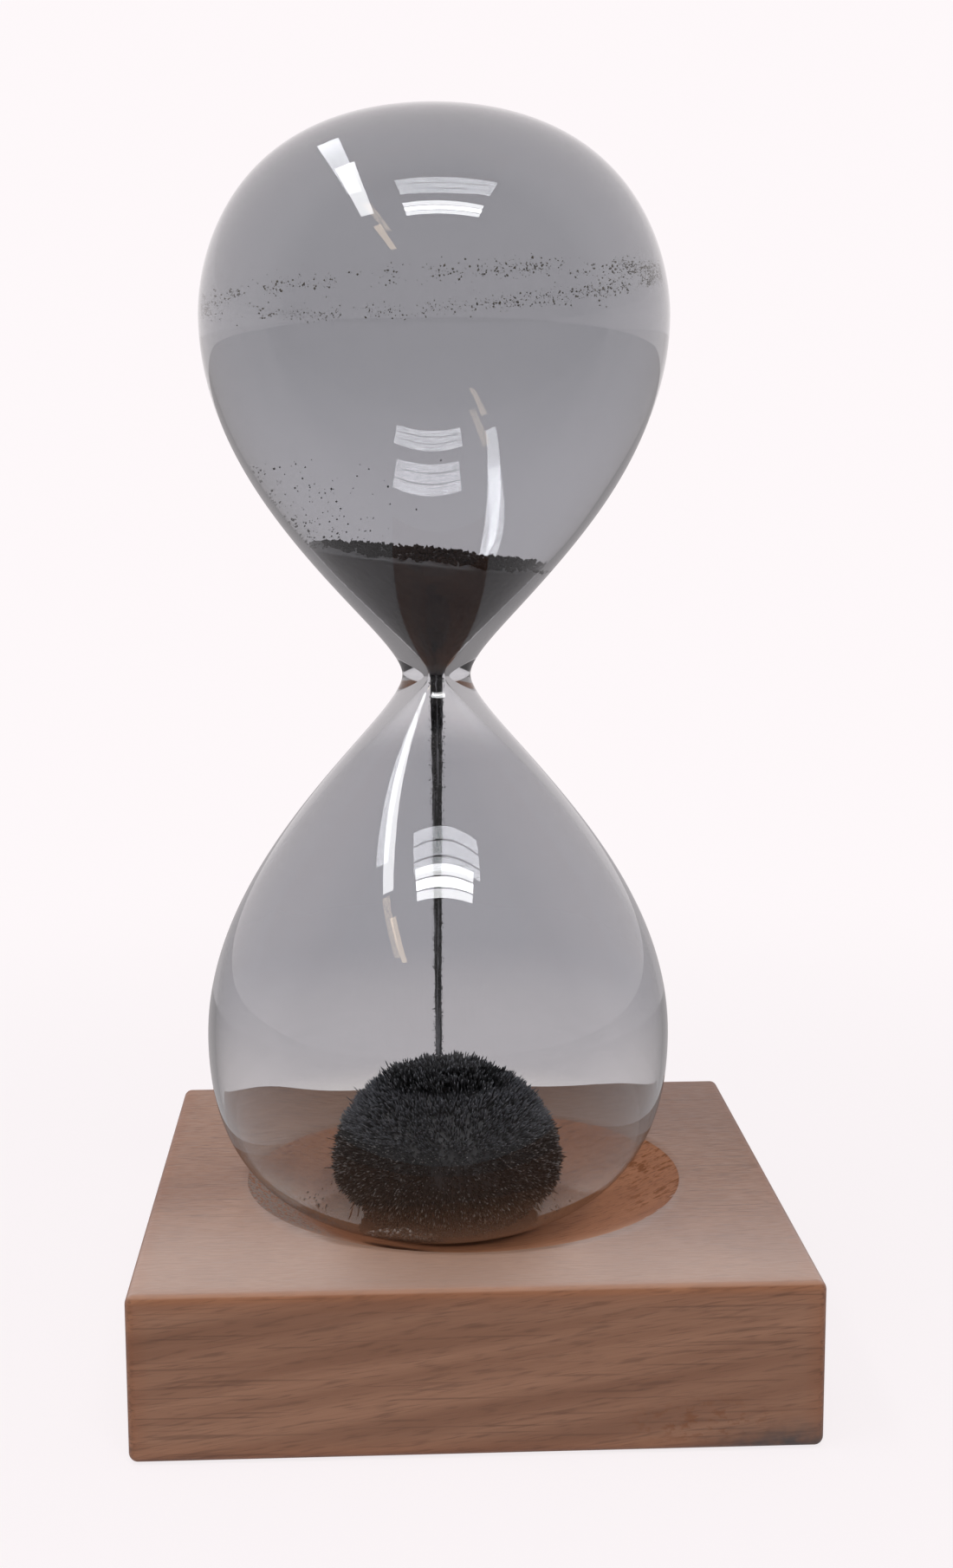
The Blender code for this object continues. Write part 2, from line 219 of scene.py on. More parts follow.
class HOURGLASS_PG_glass(bpy.types.PropertyGroup):
    """Sizes and colours of the blown glass."""

    neck_radius: length("Neck radius", 0.00435, "Outer radius at the waist")
    neck_run: length("Neck run", 0.0056, "How far the outer flank runs straight from the waist")
    upper_radius: length("Upper radius", 0.0291, "Widest outer radius of the upper bulb")
    upper_flank: length("Upper flank", 0.0442, "From the waist to the upper bulb's widest ring")
    lower_flank: length("Lower flank", 0.0464, "From the waist to the lower bulb's widest ring")
    flank_run: length("Flank run", 0.0232, "How far the flank runs straight at the widest ring")
    upper_shoulder: length("Upper shoulder", 0.0085, "How far the upper cap runs straight at its rim")
    upper_cap: length("Upper cap", 0.0240, "How far the upper cap runs flat at its pole")
    lower_shoulder: length("Lower shoulder", 0.0105, "How far the lower cap runs straight at its rim")
    lower_cap: length("Lower cap", 0.0270, "How far the lower cap runs flat at its pole")
    side_wall: length("Side wall", 0.0005, "Wall at the widest ring")
    cap_wall: length("Cap wall", 0.00015, "Wall at a pole")
    orifice_radius: length("Orifice radius", 0.0011, "Inner radius at the waist")
    funnel_run: length("Funnel run", 0.0036, "How far the inner flank runs straight from the waist")
    hole_radius: length("Fill hole radius", 0.0020, "Radius of the hole in the lower cap")
    wave: length("Wave", 0.00006, "How far the blown surface strays from a true turned one")
    # Painted shade: the clear glass shows a grey room, and these greys stand in for it, each as light as what
    # shows through that part; the wall in the dish is left clear
    grey: colour("Grey", (0.300, 0.310, 0.332), "Tint of the upper bulb")
    flank: colour("Flank grey", (0.352, 0.362, 0.388), "Tint round the waist and on the lower flank")
    belly: colour("Belly grey", (0.575, 0.568, 0.572), "Tint of the lower bulb at its widest")
    waist: colour("Waist grey", (0.660, 0.670, 0.690), "Tint at the waist")
    clear: colour("Clear", (0.930, 0.905, 0.830), "Tint of the wall that lies in the dish")
    clear_below: length("Clear below", 0.0225, "Height up to which the wall is clear")
    grey_above: length("Grey above", 0.0280, "Height from which the wall has its tint")


class HOURGLASS_PG_powder(bpy.types.PropertyGroup):
    """Sizes and colours of the iron powder."""

    heap_level: length("Heap level", 0.0145, "Height of the heap over the waist, on the axis")
    heap_tilt: angle("Heap tilt", 6.5, "Slope of the heap's top, down towards +X")
    heap_foot: length("Heap foot", 0.0002, "Height of the heap's lower end over the waist")
    wall_gap: length("Wall gap", 0.00008, "Gap between the heap and the glass")
    stream_top: length("Stream radius", 0.00112, "Radius of the stream at the waist")
    stream_end: length("Stream end radius", 0.00044, "Radius of the stream over the mound")
    mound_radius: length("Mound radius", 0.0138, "Widest radius of the mound under its needles")
    mound_height: length("Mound height", 0.0186, "Height of the mound under its needles")
    mound_foot: length("Mound foot radius", 0.0105, "Radius at which the mound meets the glass")
    mound_widest: length("Mound widest", 0.0066, "Height of the widest ring over the mound's foot")
    crown_run: length("Crown run", 0.0074, "How far the mound's outline runs flat at its crown")
    flank_run: length("Mound flank run", 0.0066, "How far the outline runs straight at the widest ring")
    needles: count("Needles", 19000, "Needles that stand on the mound")
    needle_length: length("Needle length", 0.0019, "Longest usual needle")
    needle_width: length("Needle width", 0.00020, "Thickness of a needle at its root")
    black: colour("Black powder", (0.005, 0.005, 0.0055), "Powder in the shade of its grains")
    grain: colour("Grain", (0.022, 0.022, 0.023), "Bare faces of single grains")
    # Painted glints of single grains
    glitter: colour("Glitter", (0.060, 0.059, 0.058), "Single grains that catch the light")
    # Painted reflections: the glass's reflection of the floor before the block, grey on the shoulder, and of
    # the wood, brown black, on the lower half
    painted_floor_reflection: colour("Slate", (0.115, 0.121, 0.137), "Needles on the mound's shoulder")
    painted_wood_reflection: colour("Brown black", (0.010, 0.008, 0.0065), "Needles on the mound's lower half")
    # Painted highlights: tips on the mound's lower half made bright in the colour
    bright: colour("Bright tip", (0.270, 0.263, 0.260), "Needle tips on the mound's lower half")
    # Painted highlights on the upper tips; the same colour gives the stream its pale streaks
    dull: colour("Dull tip", (0.200, 0.205, 0.220), "Needle tips on the mound's upper half, and the stream")
    dust: colour("Dust", (0.110, 0.098, 0.074), "Fine dust that clings to the upper bulb")


class HOURGLASS_PG_stage(bpy.types.PropertyGroup):
    """Camera, lamps and background."""

    lens: bpy.props.FloatProperty(
        name="Lens", description="Focal length on a sensor 36 mm long", default=48.36, unit="CAMERA")
    camera_place: bpy.props.FloatVectorProperty(
        name="Camera place", description="Where the camera stands", size=3, unit="LENGTH",
        subtype="TRANSLATION", default=(-0.01110, -0.26662, 0.11309))
    yaw: angle("Yaw", 2.783, "Turn of the view from +Y towards +X")
    pitch: angle("Pitch", 8.785, "Dip of the view below the horizon")
    roll: angle("Roll", -0.16, "Roll of the view")
    background: colour("Background", (0.990, 0.940, 0.955), "Backdrop and floor")
    ambient: amount("Ambient", 0.38, "Light from all round")
    side_gloss: amount("Gloss at the sides", 0.50, "Brightness in reflections of the floor beside the block")
    front_gloss: amount("Gloss in front", 0.16, "Brightness in reflections of what lies before the block")
    inner_gloss: amount("Gloss inside", 0.55, "Share of the room that the inside of the glass mirrors")
    mirrored_light: amount("Mirrored light", 0.50, "Share of the lamps' light on what is seen mirrored")
    mirrored_gloss: amount("Mirrored gloss", 0.10, "Share of the room's gloss on what is seen mirrored")
    lamp_height: length("Lamp height", 0.75, "Height of the lamps over the glass")
    lamp_level: amount("Lamp level", 14.0, "Brightness of the lamps' faces")


# Arithmetic on whole arrays

def bezier(start, leave, arrive, end, steps):
    """A cubic curve: each point is the four corners weighed by (1-t)^3, 3t(1-t)^2, 3t^2(1-t) and t^3."""
    t = np.linspace(0.0, 1.0, steps + 1)[:, None]
    corners = [np.array(corner, float) for corner in (start, leave, arrive, end)]
    weights = ((1 - t) ** 3, 3 * t * (1 - t) ** 2, 3 * t ** 2 * (1 - t), t ** 3)
    return sum(weight * corner for weight, corner in zip(weights, corners))


def unit(vectors):
    """Vectors divided by their lengths."""
    return vectors / np.linalg.norm(vectors, axis=-1, keepdims=True)


def smooth(values, low, high):
    """An S-curve from 0 at low to 1 at high."""
    share = np.clip((values - low) / (high - low), 0.0, 1.0)
    return share * share * (3 - 2 * share)


def lumps(points, size, seed):
    """Random swells from -1 to 1: values on a lattice of that size, blended by an S-curve in between."""
    lattice = np.random.default_rng(seed).uniform(-1.0, 1.0, (LATTICE, LATTICE, LATTICE))
    place = points / size
    cell = np.floor(place).astype(int)
    share = place - cell
    share = share * share * (3 - 2 * share)
    total = np.zeros(points.shape[:-1])
    for corner in np.ndindex(2, 2, 2):
        weight = np.prod(np.where(corner, share, 1 - share), axis=-1)
        i, j, k = np.moveaxis((cell + corner) % LATTICE, -1, 0)
        total += weight * lattice[i, j, k]
    return total


def bearings(columns):
    """Angles all the way round, each once."""
    return np.linspace(0.0, 2 * math.pi, columns, endpoint=False)


def turned(radius, height, angles, axis_x=0.0):
    """A turned surface: (x, y) is the radius at its angle about the axis, z the height. Rows by columns."""
    radius, height, angles = np.broadcast_arrays(radius, height, angles)
    return np.stack([axis_x + radius * np.cos(angles), radius * np.sin(angles), height], axis=-1)


def random_turns(draw, number):
    """Rotation matrices spread evenly over all turns, from unit quaternions with normal parts."""
    w, x, y, z = unit(draw.normal(size=(number, 4))).T
    rows = [
        [1 - 2 * (y * y + z * z), 2 * (x * y - w * z), 2 * (x * z + w * y)],
        [2 * (x * y + w * z), 1 - 2 * (x * x + z * z), 2 * (y * z - w * x)],
        [2 * (x * z - w * y), 2 * (y * z + w * x), 1 - 2 * (x * x + y * y)]]
    return np.moveaxis(np.array(rows), -1, 0)


# Meshes from arrays

def mesh_of(name, corners, triangles, quads=np.zeros((0, 4), int)):
    """A smooth mesh from rows of corners and rows of faces, with its faces turned outwards."""
    halves = np.vstack([quads[:, [0, 1, 2]], quads[:, [0, 2, 3]], triangles])
    a, b, c = (corners[halves[:, i]] for i in range(3))
    if np.sum(a * np.cross(b, c)) < 0:
        quads, triangles = quads[:, ::-1], triangles[:, ::-1]
    mesh = bpy.data.meshes.new(name)
    mesh.vertices.add(len(corners))
    mesh.vertices.foreach_set("co", corners.astype(np.float32).ravel())
    loops = np.concatenate([quads.ravel(), triangles.ravel()])
    sides = np.concatenate([np.full(len(quads), 4), np.full(len(triangles), 3)])
    mesh.loops.add(len(loops))
    mesh.loops.foreach_set("vertex_index", loops.astype(np.int32))
    mesh.polygons.add(len(sides))
    mesh.polygons.foreach_set("loop_start", (np.cumsum(sides) - sides).astype(np.int32))
    mesh.update(calc_edges=True)
    mesh.validate()
    mesh.shade_smooth()
    return mesh


def skin(name, rings):
    """A closed surface over a grid of rings: the first and the last are poles, drawn as one point each."""
    rows, columns = rings.shape[:2]
    corners = np.vstack([rings[0].mean(axis=0), rings[1:-1].reshape(-1, 3), rings[-1].mean(axis=0)])
    number = np.arange((rows - 2) * columns).reshape(rows - 2, columns) + 1
    beside = np.roll(number, -1, axis=1)
    quads = np.stack([number[:-1], number[1:], beside[1:], beside[:-1]], axis=-1).reshape(-1, 4)
    first = np.stack([np.zeros(columns, int), number[0], beside[0]], axis=-1)
    last = np.stack([np.full(columns, len(corners) - 1), beside[-1], number[-1]], axis=-1)
    return mesh_of(name, corners, np.vstack([first, last]), quads)


def ring_values(values):
    """A grid of values in the order in which skin() numbers its corners."""
    return np.concatenate([[values[0].mean()], values[1:-1].ravel(), [values[-1].mean()]])


def scattered(name, places, turns, sizes):
    """Many small eight-sided grains in one mesh: each corner is turned, stretched by its size and moved."""
    corners = np.einsum("nij,nkj->nki", turns, EIGHT_SIDED[None] * sizes[:, None, :]) + places[:, None, :]
    faces = EIGHT_FACES[None] + len(EIGHT_SIDED) * np.arange(len(places))[:, None, None]
    return mesh_of(name, corners.reshape(-1, 3), faces.reshape(-1, 3))


def strewn(draw, places, size, low, high):
    """What scattered() needs: places, random turns, and sizes times a random share for each way."""
    number = len(places)
    return places, random_turns(draw, number), size[:, None] * draw.uniform(low, high, (number, 3))


def give_values(mesh, name, values):
    """Store one number for each corner, for a material to read."""
    mesh.attributes.new(name, "FLOAT", "POINT").data.foreach_set("value", values.astype(np.float32))


def place(mesh, finish, body, slot, *replaced):
    """Put a finished mesh in the scene under its own name, on the body that carries it."""
    made = bpy.data.objects.new(mesh.name, mesh)
    bpy.context.scene.collection.objects.link(made)
    mesh.materials.append(finish)
    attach(made, body)
    if replaced:
        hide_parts(*replaced)
    return made


def pour(mesh, finish, *replaced):
    """Put a piece of powder into the glass."""
    place(mesh, finish, "glass", "iron_powder", *replaced)


# Outlines of the glass, as (radius, height over the waist)

def upper_bulb(glass):
    """Sizes of the upper bulb's outside."""
    return Bulb(glass.upper_flank, glass.upper_radius, UPPER_LENGTH, glass.upper_shoulder, glass.upper_cap)


def lower_bulb(glass):
    """Sizes of the lower bulb's outside."""
    return Bulb(glass.lower_flank, LOWER_RADIUS, LOWER_LENGTH, glass.lower_shoulder, glass.lower_cap)


def bulb_outline(glass, bulb, neck_radius, neck_run):
    """Flank and cap of one bulb: two cubic curves that meet at the widest ring, upright there."""
    widest = (bulb.radius, bulb.flank_height)
    flank = bezier(
        (neck_radius, 0.0), (neck_radius, neck_run),
        (bulb.radius, bulb.flank_height - glass.flank_run), widest, FLANK_STEPS)
    cap = bezier(
        widest, (bulb.radius, bulb.flank_height + bulb.shoulder_run),
        (bulb.cap_run, bulb.length), (0.0, bulb.length), CAP_STEPS)
    return np.vstack([flank, cap[1:]])


def outer_outline(glass, bulb):
    """The outside of a bulb."""
    return bulb_outline(glass, bulb, glass.neck_radius, glass.neck_run)


def inner_outline(glass, bulb):
    """The inside of a bulb, which draws in to the orifice as a funnel."""
    hollow = bulb._replace(radius=bulb.radius - glass.side_wall, length=bulb.length - glass.cap_wall)
    return bulb_outline(glass, hollow, glass.orifice_radius, glass.funnel_run)


def inside_radius(glass, height):
    """Inner radius of the upper bulb at a height over the waist."""
    outline = inner_outline(glass, upper_bulb(glass))
    return np.interp(height, outline[:, 1], outline[:, 0])


def floor_height(glass, radius):
    """World height of the inside of the lower cap at a distance from the axis."""
    cap = inner_outline(glass, lower_bulb(glass))[FLANK_STEPS:][::-1]
    return NECK_Z - np.interp(radius, cap[:, 0], cap[:, 1])


def cut_at(outline, radius):
    """An outline that stops where its cap comes in to a radius."""
    cap = outline[FLANK_STEPS:][::-1]
    kept = outline[:FLANK_STEPS + np.count_nonzero(cap[:, 0] > radius)]
    return np.vstack([kept, (radius, np.interp(radius, cap[:, 0], cap[:, 1]))])


# Node trees

def node(tree, kind, inputs=None, **settings):
    """Place a node: settings are its own options, inputs are constants or sockets to wire in."""
    made = tree.nodes.new("ShaderNode" + kind)
    for name, value in settings.items():
        setattr(made, name, value)
    for name, value in (inputs or {}).items():
        if isinstance(value, bpy.types.NodeSocket):
            tree.links.new(value, made.inputs[name])
        else:
            made.inputs[name].default_value = value
    return made


def rgba(three):
    """A linear colour with full alpha."""
    return (*three, 1.0)


def maths(tree, operation, a, b=0.0):
    """The outcome of a sum on two values."""
    return node(tree, "Math", {0: a, 1: b}, operation=operation).outputs[0]


def times(tree, a, b):
    """Two values multiplied."""
    return maths(tree, "MULTIPLY", a, b)


def minus(tree, a, b):
    """One value less another."""
    return maths(tree, "SUBTRACT", a, b)


def larger(tree, a, b):
    """The larger of two values."""
    return maths(tree, "MAXIMUM", a, b)


def fade(tree, value, low, high, to_low=0.0, to_high=1.0):
    """A value carried smoothly from one range to another."""
    made = node(tree, "MapRange", {
        "Value": value, "From Min": low, "From Max": high, "To Min": to_low, "To Max": to_high},
        interpolation_type="SMOOTHSTEP")
    return made.outputs["Result"]


def mixed(tree, share, a, b, blend="MIX"):
    """Two colours mixed by a share."""
    made = node(tree, "Mix", {0: share, 6: a, 7: b}, data_type="RGBA", blend_type=blend)
    return made.outputs[2]


def stretched(tree, vector, scale):
    """A vector multiplied part by part, so that a pattern is long where the scale is small."""
    made = node(tree, "VectorMath", {0: vector, 1: scale}, operation="MULTIPLY")
    return made.outputs[0]


def noise(tree, vector, detail, rough=0.5, scale=1.0):
    """Blender's noise as one value."""
    made = node(tree, "TexNoise", {
        "Vector": vector, "Scale": scale, "Detail": detail, "Roughness": rough})
    return made.outputs["Fac"]


def stored(tree, name):
    """A value that the mesh carries."""
    return node(tree, "Attribute", attribute_name=name).outputs["Fac"]


def object_place(tree):
    """Where a point lies on the piece, in metres."""
    return node(tree, "TexCoord").outputs["Object"]


def part_of(tree, vector, axis):
    """One part of a vector."""
    return node(tree, "SeparateXYZ", {0: vector}).outputs[axis]


def new_finish(name):
    """A material with its Principled shader: gives the material, its tree and the shader."""
    made = bpy.data.materials.new(name)
    made.use_nodes = True
    return made, made.node_tree, made.node_tree.nodes["Principled BSDF"]


def wire(tree, shader, **sockets):
    """Link sockets to the shader's inputs, whose names have spaces for underscores."""
    for name, socket in sockets.items():
        tree.links.new(socket, shader.inputs[name.replace("_", " ")])


def hold(shader, **values):
    """Set the shader's inputs that are the same all over."""
    for name, value in values.items():
        shader.inputs[name.replace("_", " ")].default_value = value


def surface(tree, socket):
    """Let a material show this shader."""
    tree.links.new(socket, tree.nodes["Material Output"].inputs["Surface"])


def bumped(tree, height, distance, strength):
    """A normal that follows a height."""
    made = node(tree, "Bump", {"Height": height, "Distance": distance, "Strength": strength})
    return made.outputs["Normal"]


def new_group(name, inputs, outputs):
    """A shader node group with its sockets: gives the group, the ins and the outs."""
    group = bpy.data.node_groups.new(name, "ShaderNodeTree")
    for way, sockets in (("INPUT", inputs), ("OUTPUT", outputs)):
        for label, kind in sockets:
            group.interface.new_socket(label, in_out=way, socket_type="NodeSocket" + kind)
    return group, group.nodes.new("NodeGroupInput").outputs, group.nodes.new("NodeGroupOutput").inputs


def grouped(tree, group, inputs):
    """Place a node group in a material."""
    return node(tree, "Group", inputs, node_tree=group).outputs


# Shared effects

def beech_figure():
    """Figure of beech along X: broad growth bands, fine fibres and short dark flecks that climb a little."""
    name = "beech_figure"
    if name in bpy.data.node_groups:
        return bpy.data.node_groups[name]
    group, given, out = new_group(
        name, [("Vector", "Vector"), ("Pale", "Color"), ("Dark", "Color"), ("Fleck", "Color")],
        [("Color", "Color"), ("Lines", "Float"), ("Roughness", "Float"), ("Height", "Float")])
    climb = node(group, "Mapping", {"Vector": given["Vector"], "Rotation": (0.0, math.radians(9.0), 0.0)})
    along = climb.outputs[0]
    bands = noise(group, stretched(group, along, (14.0, 48.0, 300.0)), detail=3.0)
    fibres = noise(group, stretched(group, along, (95.0, 3400.0, 3400.0)), detail=3.0)
    dashes = noise(group, stretched(group, along, (170.0, 1500.0, 1500.0)), detail=2.0)
    hairs = noise(group, stretched(group, along, (260.0, 4200.0, 4200.0)), detail=1.5)
    lines = noise(group, stretched(group, given["Vector"], (48.0, 2600.0, 2600.0)), detail=1.0)
    body = mixed(group, fade(group, bands, 0.32, 0.68), given["Pale"], given["Dark"])
    streaked = mixed(group, fade(group, fibres, 0.35, 0.75, 0.0, 0.42), body, given["Dark"])
    dark_dash = fade(group, dashes, 0.54, 0.72, 0.0, 0.46)
    dark_hair = fade(group, hairs, 0.55, 0.72, 0.0, 0.40)
    marks = larger(group, dark_dash, dark_hair)
    group.links.new(mixed(group, marks, streaked, given["Fleck"]), out["Color"])
    group.links.new(fade(group, lines, 0.58, 0.70), out["Lines"])
    group.links.new(fade(group, fibres, 0.3, 0.7, 0.38, 0.50), out["Roughness"])
    group.links.new(minus(group, fibres, marks), out["Height"])
    return group


def iron_grit():
    """Grains of iron: each cell of a fine mosaic has its own brightness and stands up in its middle."""
    name = "iron_grit"
    if name in bpy.data.node_groups:
        return bpy.data.node_groups[name]
    group, given, out = new_group(
        name, [("Vector", "Vector"), ("Grains", "Float")], [("Glint", "Float"), ("Height", "Float")])
    cells = node(group, "TexVoronoi", {"Vector": given["Vector"], "Scale": given["Grains"]})
    own = node(group, "SeparateColor", {"Color": cells.outputs["Color"]}).outputs[0]
    drift = noise(group, given["Vector"], detail=2.0, rough=0.5, scale=260.0)
    glint = times(group, fade(group, own, 0.55, 1.0), fade(group, drift, 0.3, 0.7, 0.6, 1.1))
    group.links.new(glint, out["Glint"])
    group.links.new(minus(group, 1.0, cells.outputs["Distance"]), out["Height"])
    return group


# Finishes

def beech_finish(block):
    """Beech with its turned dish, each mark where its mask is.

    Grain lines, painted light on the front of the top and of the dish, painted shade on the back right of the
    top, the dish, whose tone also holds painted light, and the rounded edges, dust on the dish's left wall,
    torn grain on its right one, and a smudge on the front face.
    """
    finish, tree, shader = new_finish("beech")
    spot = object_place(tree)
    figure = grouped(tree, beech_figure(), {
        "Vector": spot, "Pale": rgba(block.pale), "Dark": rgba(block.dark), "Fleck": rgba(block.fleck)})
    dish, dust = stored(tree, "dish"), stored(tree, "dust")
    line_share = times(tree, figure["Lines"], fade(tree, dish, 0.0, 1.0, 0.45, 0.55))
    wood = mixed(tree, line_share, figure["Color"], rgba(block.fleck))
    # Painted light: paler wood at the front of the top and of the dish
    wood = mixed(tree, stored(tree, "bleached"), wood, rgba(block.bleached))
    # Painted shade: the back right of the top darkened as if the glass shadowed it
    wood = mixed(tree, stored(tree, "shaded"), wood, rgba(block.fleck))
    # The dish's end-grain tone, with painted light that brightens its shade
    wood = mixed(tree, dish, wood, DISH_TONE_AND_LIGHT, "MULTIPLY")
    wood = mixed(tree, stored(tree, "edge"), wood, EDGE_TONE, "MULTIPLY")
    speck = fade(tree, noise(tree, spot, detail=3.0, rough=0.7, scale=1900.0), 0.40, 0.56)
    wood = mixed(tree, times(tree, dust, speck), wood, rgba(block.dust))
    motes = fade(tree, noise(tree, spot, detail=2.0, rough=0.6, scale=3400.0), 0.56, 0.68, 0.0, 0.75)
    wood = mixed(tree, times(tree, dust, motes), wood, rgba(block.stain))
    rips = noise(tree, stretched(tree, spot, (520.0, 900.0, 900.0)), detail=3.0, rough=0.6)
    rip_share = times(tree, stored(tree, "torn"), fade(tree, rips, 0.50, 0.62))
    wood = mixed(tree, rip_share, wood, rgba(block.torn))
    cloud = noise(tree, spot, detail=3.0, rough=0.6, scale=420.0)
    smudge = times(tree, stored(tree, "stain"), fade(tree, cloud, 0.25, 0.70, 0.35, 0.95))
    wood = mixed(tree, smudge, wood, rgba(block.stain))
    normal = bumped(tree, minus(tree, figure["Height"], rip_share), distance=0.00006, strength=0.45)
    rough = larger(tree, figure["Roughness"], times(tree, dish, 0.80))
    wire(tree, shader, Base_Color=wood, Roughness=rough, Normal=normal, Coat_Weight=stored(tree, "varnish"))
    hold(shader, Coat_Roughness=0.40)
    return finish


def plug_finish(block):
    """Offcut of the same beech, paler and rougher."""
    finish, tree, shader = new_finish("plug_beech")
    pale, dark = rgba(block.pale), rgba(block.dark)
    figure = grouped(tree, beech_figure(), {
        "Vector": object_place(tree), "Pale": pale, "Dark": pale, "Fleck": dark})
    wire(tree, shader, Base_Color=figure["Color"], Roughness=figure["Roughness"],
         Normal=bumped(tree, figure["Height"], distance=0.00008, strength=0.5))
    return finish


def felt_finish(block):
    """Pressed felt: tangled pale hairs over grey, matt."""
    finish, tree, shader = new_finish("grey_felt")
    tangle = noise(tree, object_place(tree), detail=5.0, rough=0.75, scale=1500.0)
    hair = [min(1.0, 2.6 * part) for part in block.felt]
    wire(tree, shader, Base_Color=mixed(tree, fade(tree, tangle, 0.42, 0.72), rgba(block.felt), rgba(hair)),
         Roughness=fade(tree, tangle, 0.3, 0.7, 0.85, 1.0),
         Normal=bumped(tree, tangle, distance=0.0002, strength=0.8))
    hold(shader, Sheen_Weight=0.4)
    return finish


def nickel_finish(block):
    """Barrel-plated nickel: cloudy gloss with tiny pits."""
    finish, tree, shader = new_finish("nickel_plate")
    cloud = noise(tree, object_place(tree), detail=4.0, rough=0.6, scale=900.0)
    dull = [0.8 * part for part in block.nickel]
    wire(tree, shader, Base_Color=mixed(tree, cloud, rgba(block.nickel), rgba(dull)),
         Roughness=fade(tree, cloud, 0.3, 0.7, 0.16, 0.34),
         Normal=bumped(tree, cloud, distance=0.00002, strength=0.3))
    hold(shader, Metallic=1.0)
    return finish


def adhesive_finish(block):
    """Set adhesive: amber with trapped bubbles."""
    finish, tree, shader = new_finish("clear_adhesive")
    bubbles = node(tree, "TexVoronoi", {"Vector": object_place(tree), "Scale": 900.0}).outputs["Distance"]
    pale = [min(1.0, 1.3 * part) for part in block.adhesive]
    share = fade(tree, bubbles, 0.12, 0.30)
    wire(tree, shader, Base_Color=mixed(tree, share, rgba(pale), rgba(block.adhesive)),
         Roughness=fade(tree, bubbles, 0.1, 0.5, 0.18, 0.36),
         Normal=bumped(tree, share, distance=0.00005, strength=0.4))
    return finish


def glass_finish(glass):
    """Blown glass: a painted grey on its outer face, standing in for the grey room seen through the clear
    glass, that clears where it lies in the dish, and a faint wave.

    For shadows, and for what is itself mirrored, it counts as a thin clear window.
    """
    finish, tree, shader = new_finish("clear_glass")
    spot = object_place(tree)
    height = part_of(tree, spot, "Z")
    # Painted shade: greys by height in place of the room seen through the glass
    wall = mixed(
        tree, fade(tree, height, glass.clear_below, glass.grey_above), rgba(glass.clear), rgba(glass.belly))
    wall = mixed(tree, fade(tree, height, *FLANK_HEIGHTS), wall, rgba(glass.flank))
    wall = mixed(tree, fade(tree, height, *UPPER_HEIGHTS), wall, rgba(glass.grey))
    from_waist = maths(tree, "ABSOLUTE", minus(tree, height, NECK_Z))
    wall = mixed(tree, fade(tree, from_waist, *WAIST_REACH, 0.8, 0.0), wall, rgba(glass.waist))
    wave = noise(tree, spot, detail=1.0, rough=0.4, scale=70.0)
    wire(tree, shader, Base_Color=mixed(tree, stored(tree, "outside"), (1.0, 1.0, 1.0, 1.0), wall),
         Normal=bumped(tree, wave, distance=0.0004, strength=0.08))
    hold(shader, Roughness=0.01, IOR=1.47, Transmission_Weight=1.0)
    window = node(tree, "BsdfTransparent", {"Color": (0.98, 0.98, 0.98, 1.0)})
    shade = node(tree, "BsdfTransparent", {"Color": (0.93, 0.93, 0.93, 1.0)})
    path = node(tree, "LightPath").outputs
    lit = node(tree, "MixShader", {
        0: path["Is Shadow Ray"], 1: shader.outputs["BSDF"], 2: shade.outputs["BSDF"]})
    either = node(tree, "MixShader", {
        0: path["Is Reflection Ray"], 1: lit.outputs[0], 2: window.outputs["BSDF"]})
    surface(tree, either.outputs[0])
    return finish


def powder_finish(name, dark, bright, grains):
    """Loose iron powder: dark, with grains painted bright one by one as glints."""
    if name in bpy.data.materials:
        return bpy.data.materials[name]
    finish, tree, shader = new_finish(name)
    grit = grouped(tree, iron_grit(), {"Vector": object_place(tree), "Grains": grains})
    wire(tree, shader, Base_Color=mixed(tree, grit["Glint"], rgba(dark), rgba(bright)),
         Roughness=fade(tree, grit["Glint"], 0.0, 1.0, 0.70, 0.45),
         Normal=bumped(tree, grit["Height"], distance=0.00016, strength=0.9))
    hold(shader, Specular_IOR_Level=0.04)
    return finish


def heap_finish(powder):
    """Powder as it lies in the heap and in the loose grains."""
    return powder_finish("iron_powder", powder.black, powder.glitter, POWDER_GRIT)


def crumb_finish(powder):
    """Coarse grains on the heap and on the glass above it, which hardly glitter."""
    return powder_finish("iron_crumbs", powder.black, powder.grain, CRUMB_GRIT)


def dust_finish(powder):
    """Rusty dust on the glass."""
    return powder_finish("iron_dust", powder.dust, [2 * part for part in powder.dust], DUST_GRIT)


def stream_finish(powder):
    """Falling powder: long dark and pale streaks that run with the fall."""
    finish, tree, shader = new_finish("falling_powder")
    spot = object_place(tree)
    streaks = noise(tree, stretched(tree, spot, (2600.0, 2600.0, 90.0)), detail=2.0, rough=0.6)
    grit = grouped(tree, iron_grit(), {"Vector": spot, "Grains": POWDER_GRIT})
    streaked = mixed(tree, fade(tree, streaks, 0.48, 0.72), rgba(powder.black), rgba(powder.dull))
    wire(tree, shader,
         Base_Color=mixed(tree, times(tree, grit["Glint"], 0.3), streaked, rgba(powder.grain)),
         Roughness=fade(tree, streaks, 0.3, 0.7, 0.60, 0.80),
         Normal=bumped(tree, grit["Height"], distance=0.0001, strength=0.7))
    hold(shader, Specular_IOR_Level=0.12)
    return finish


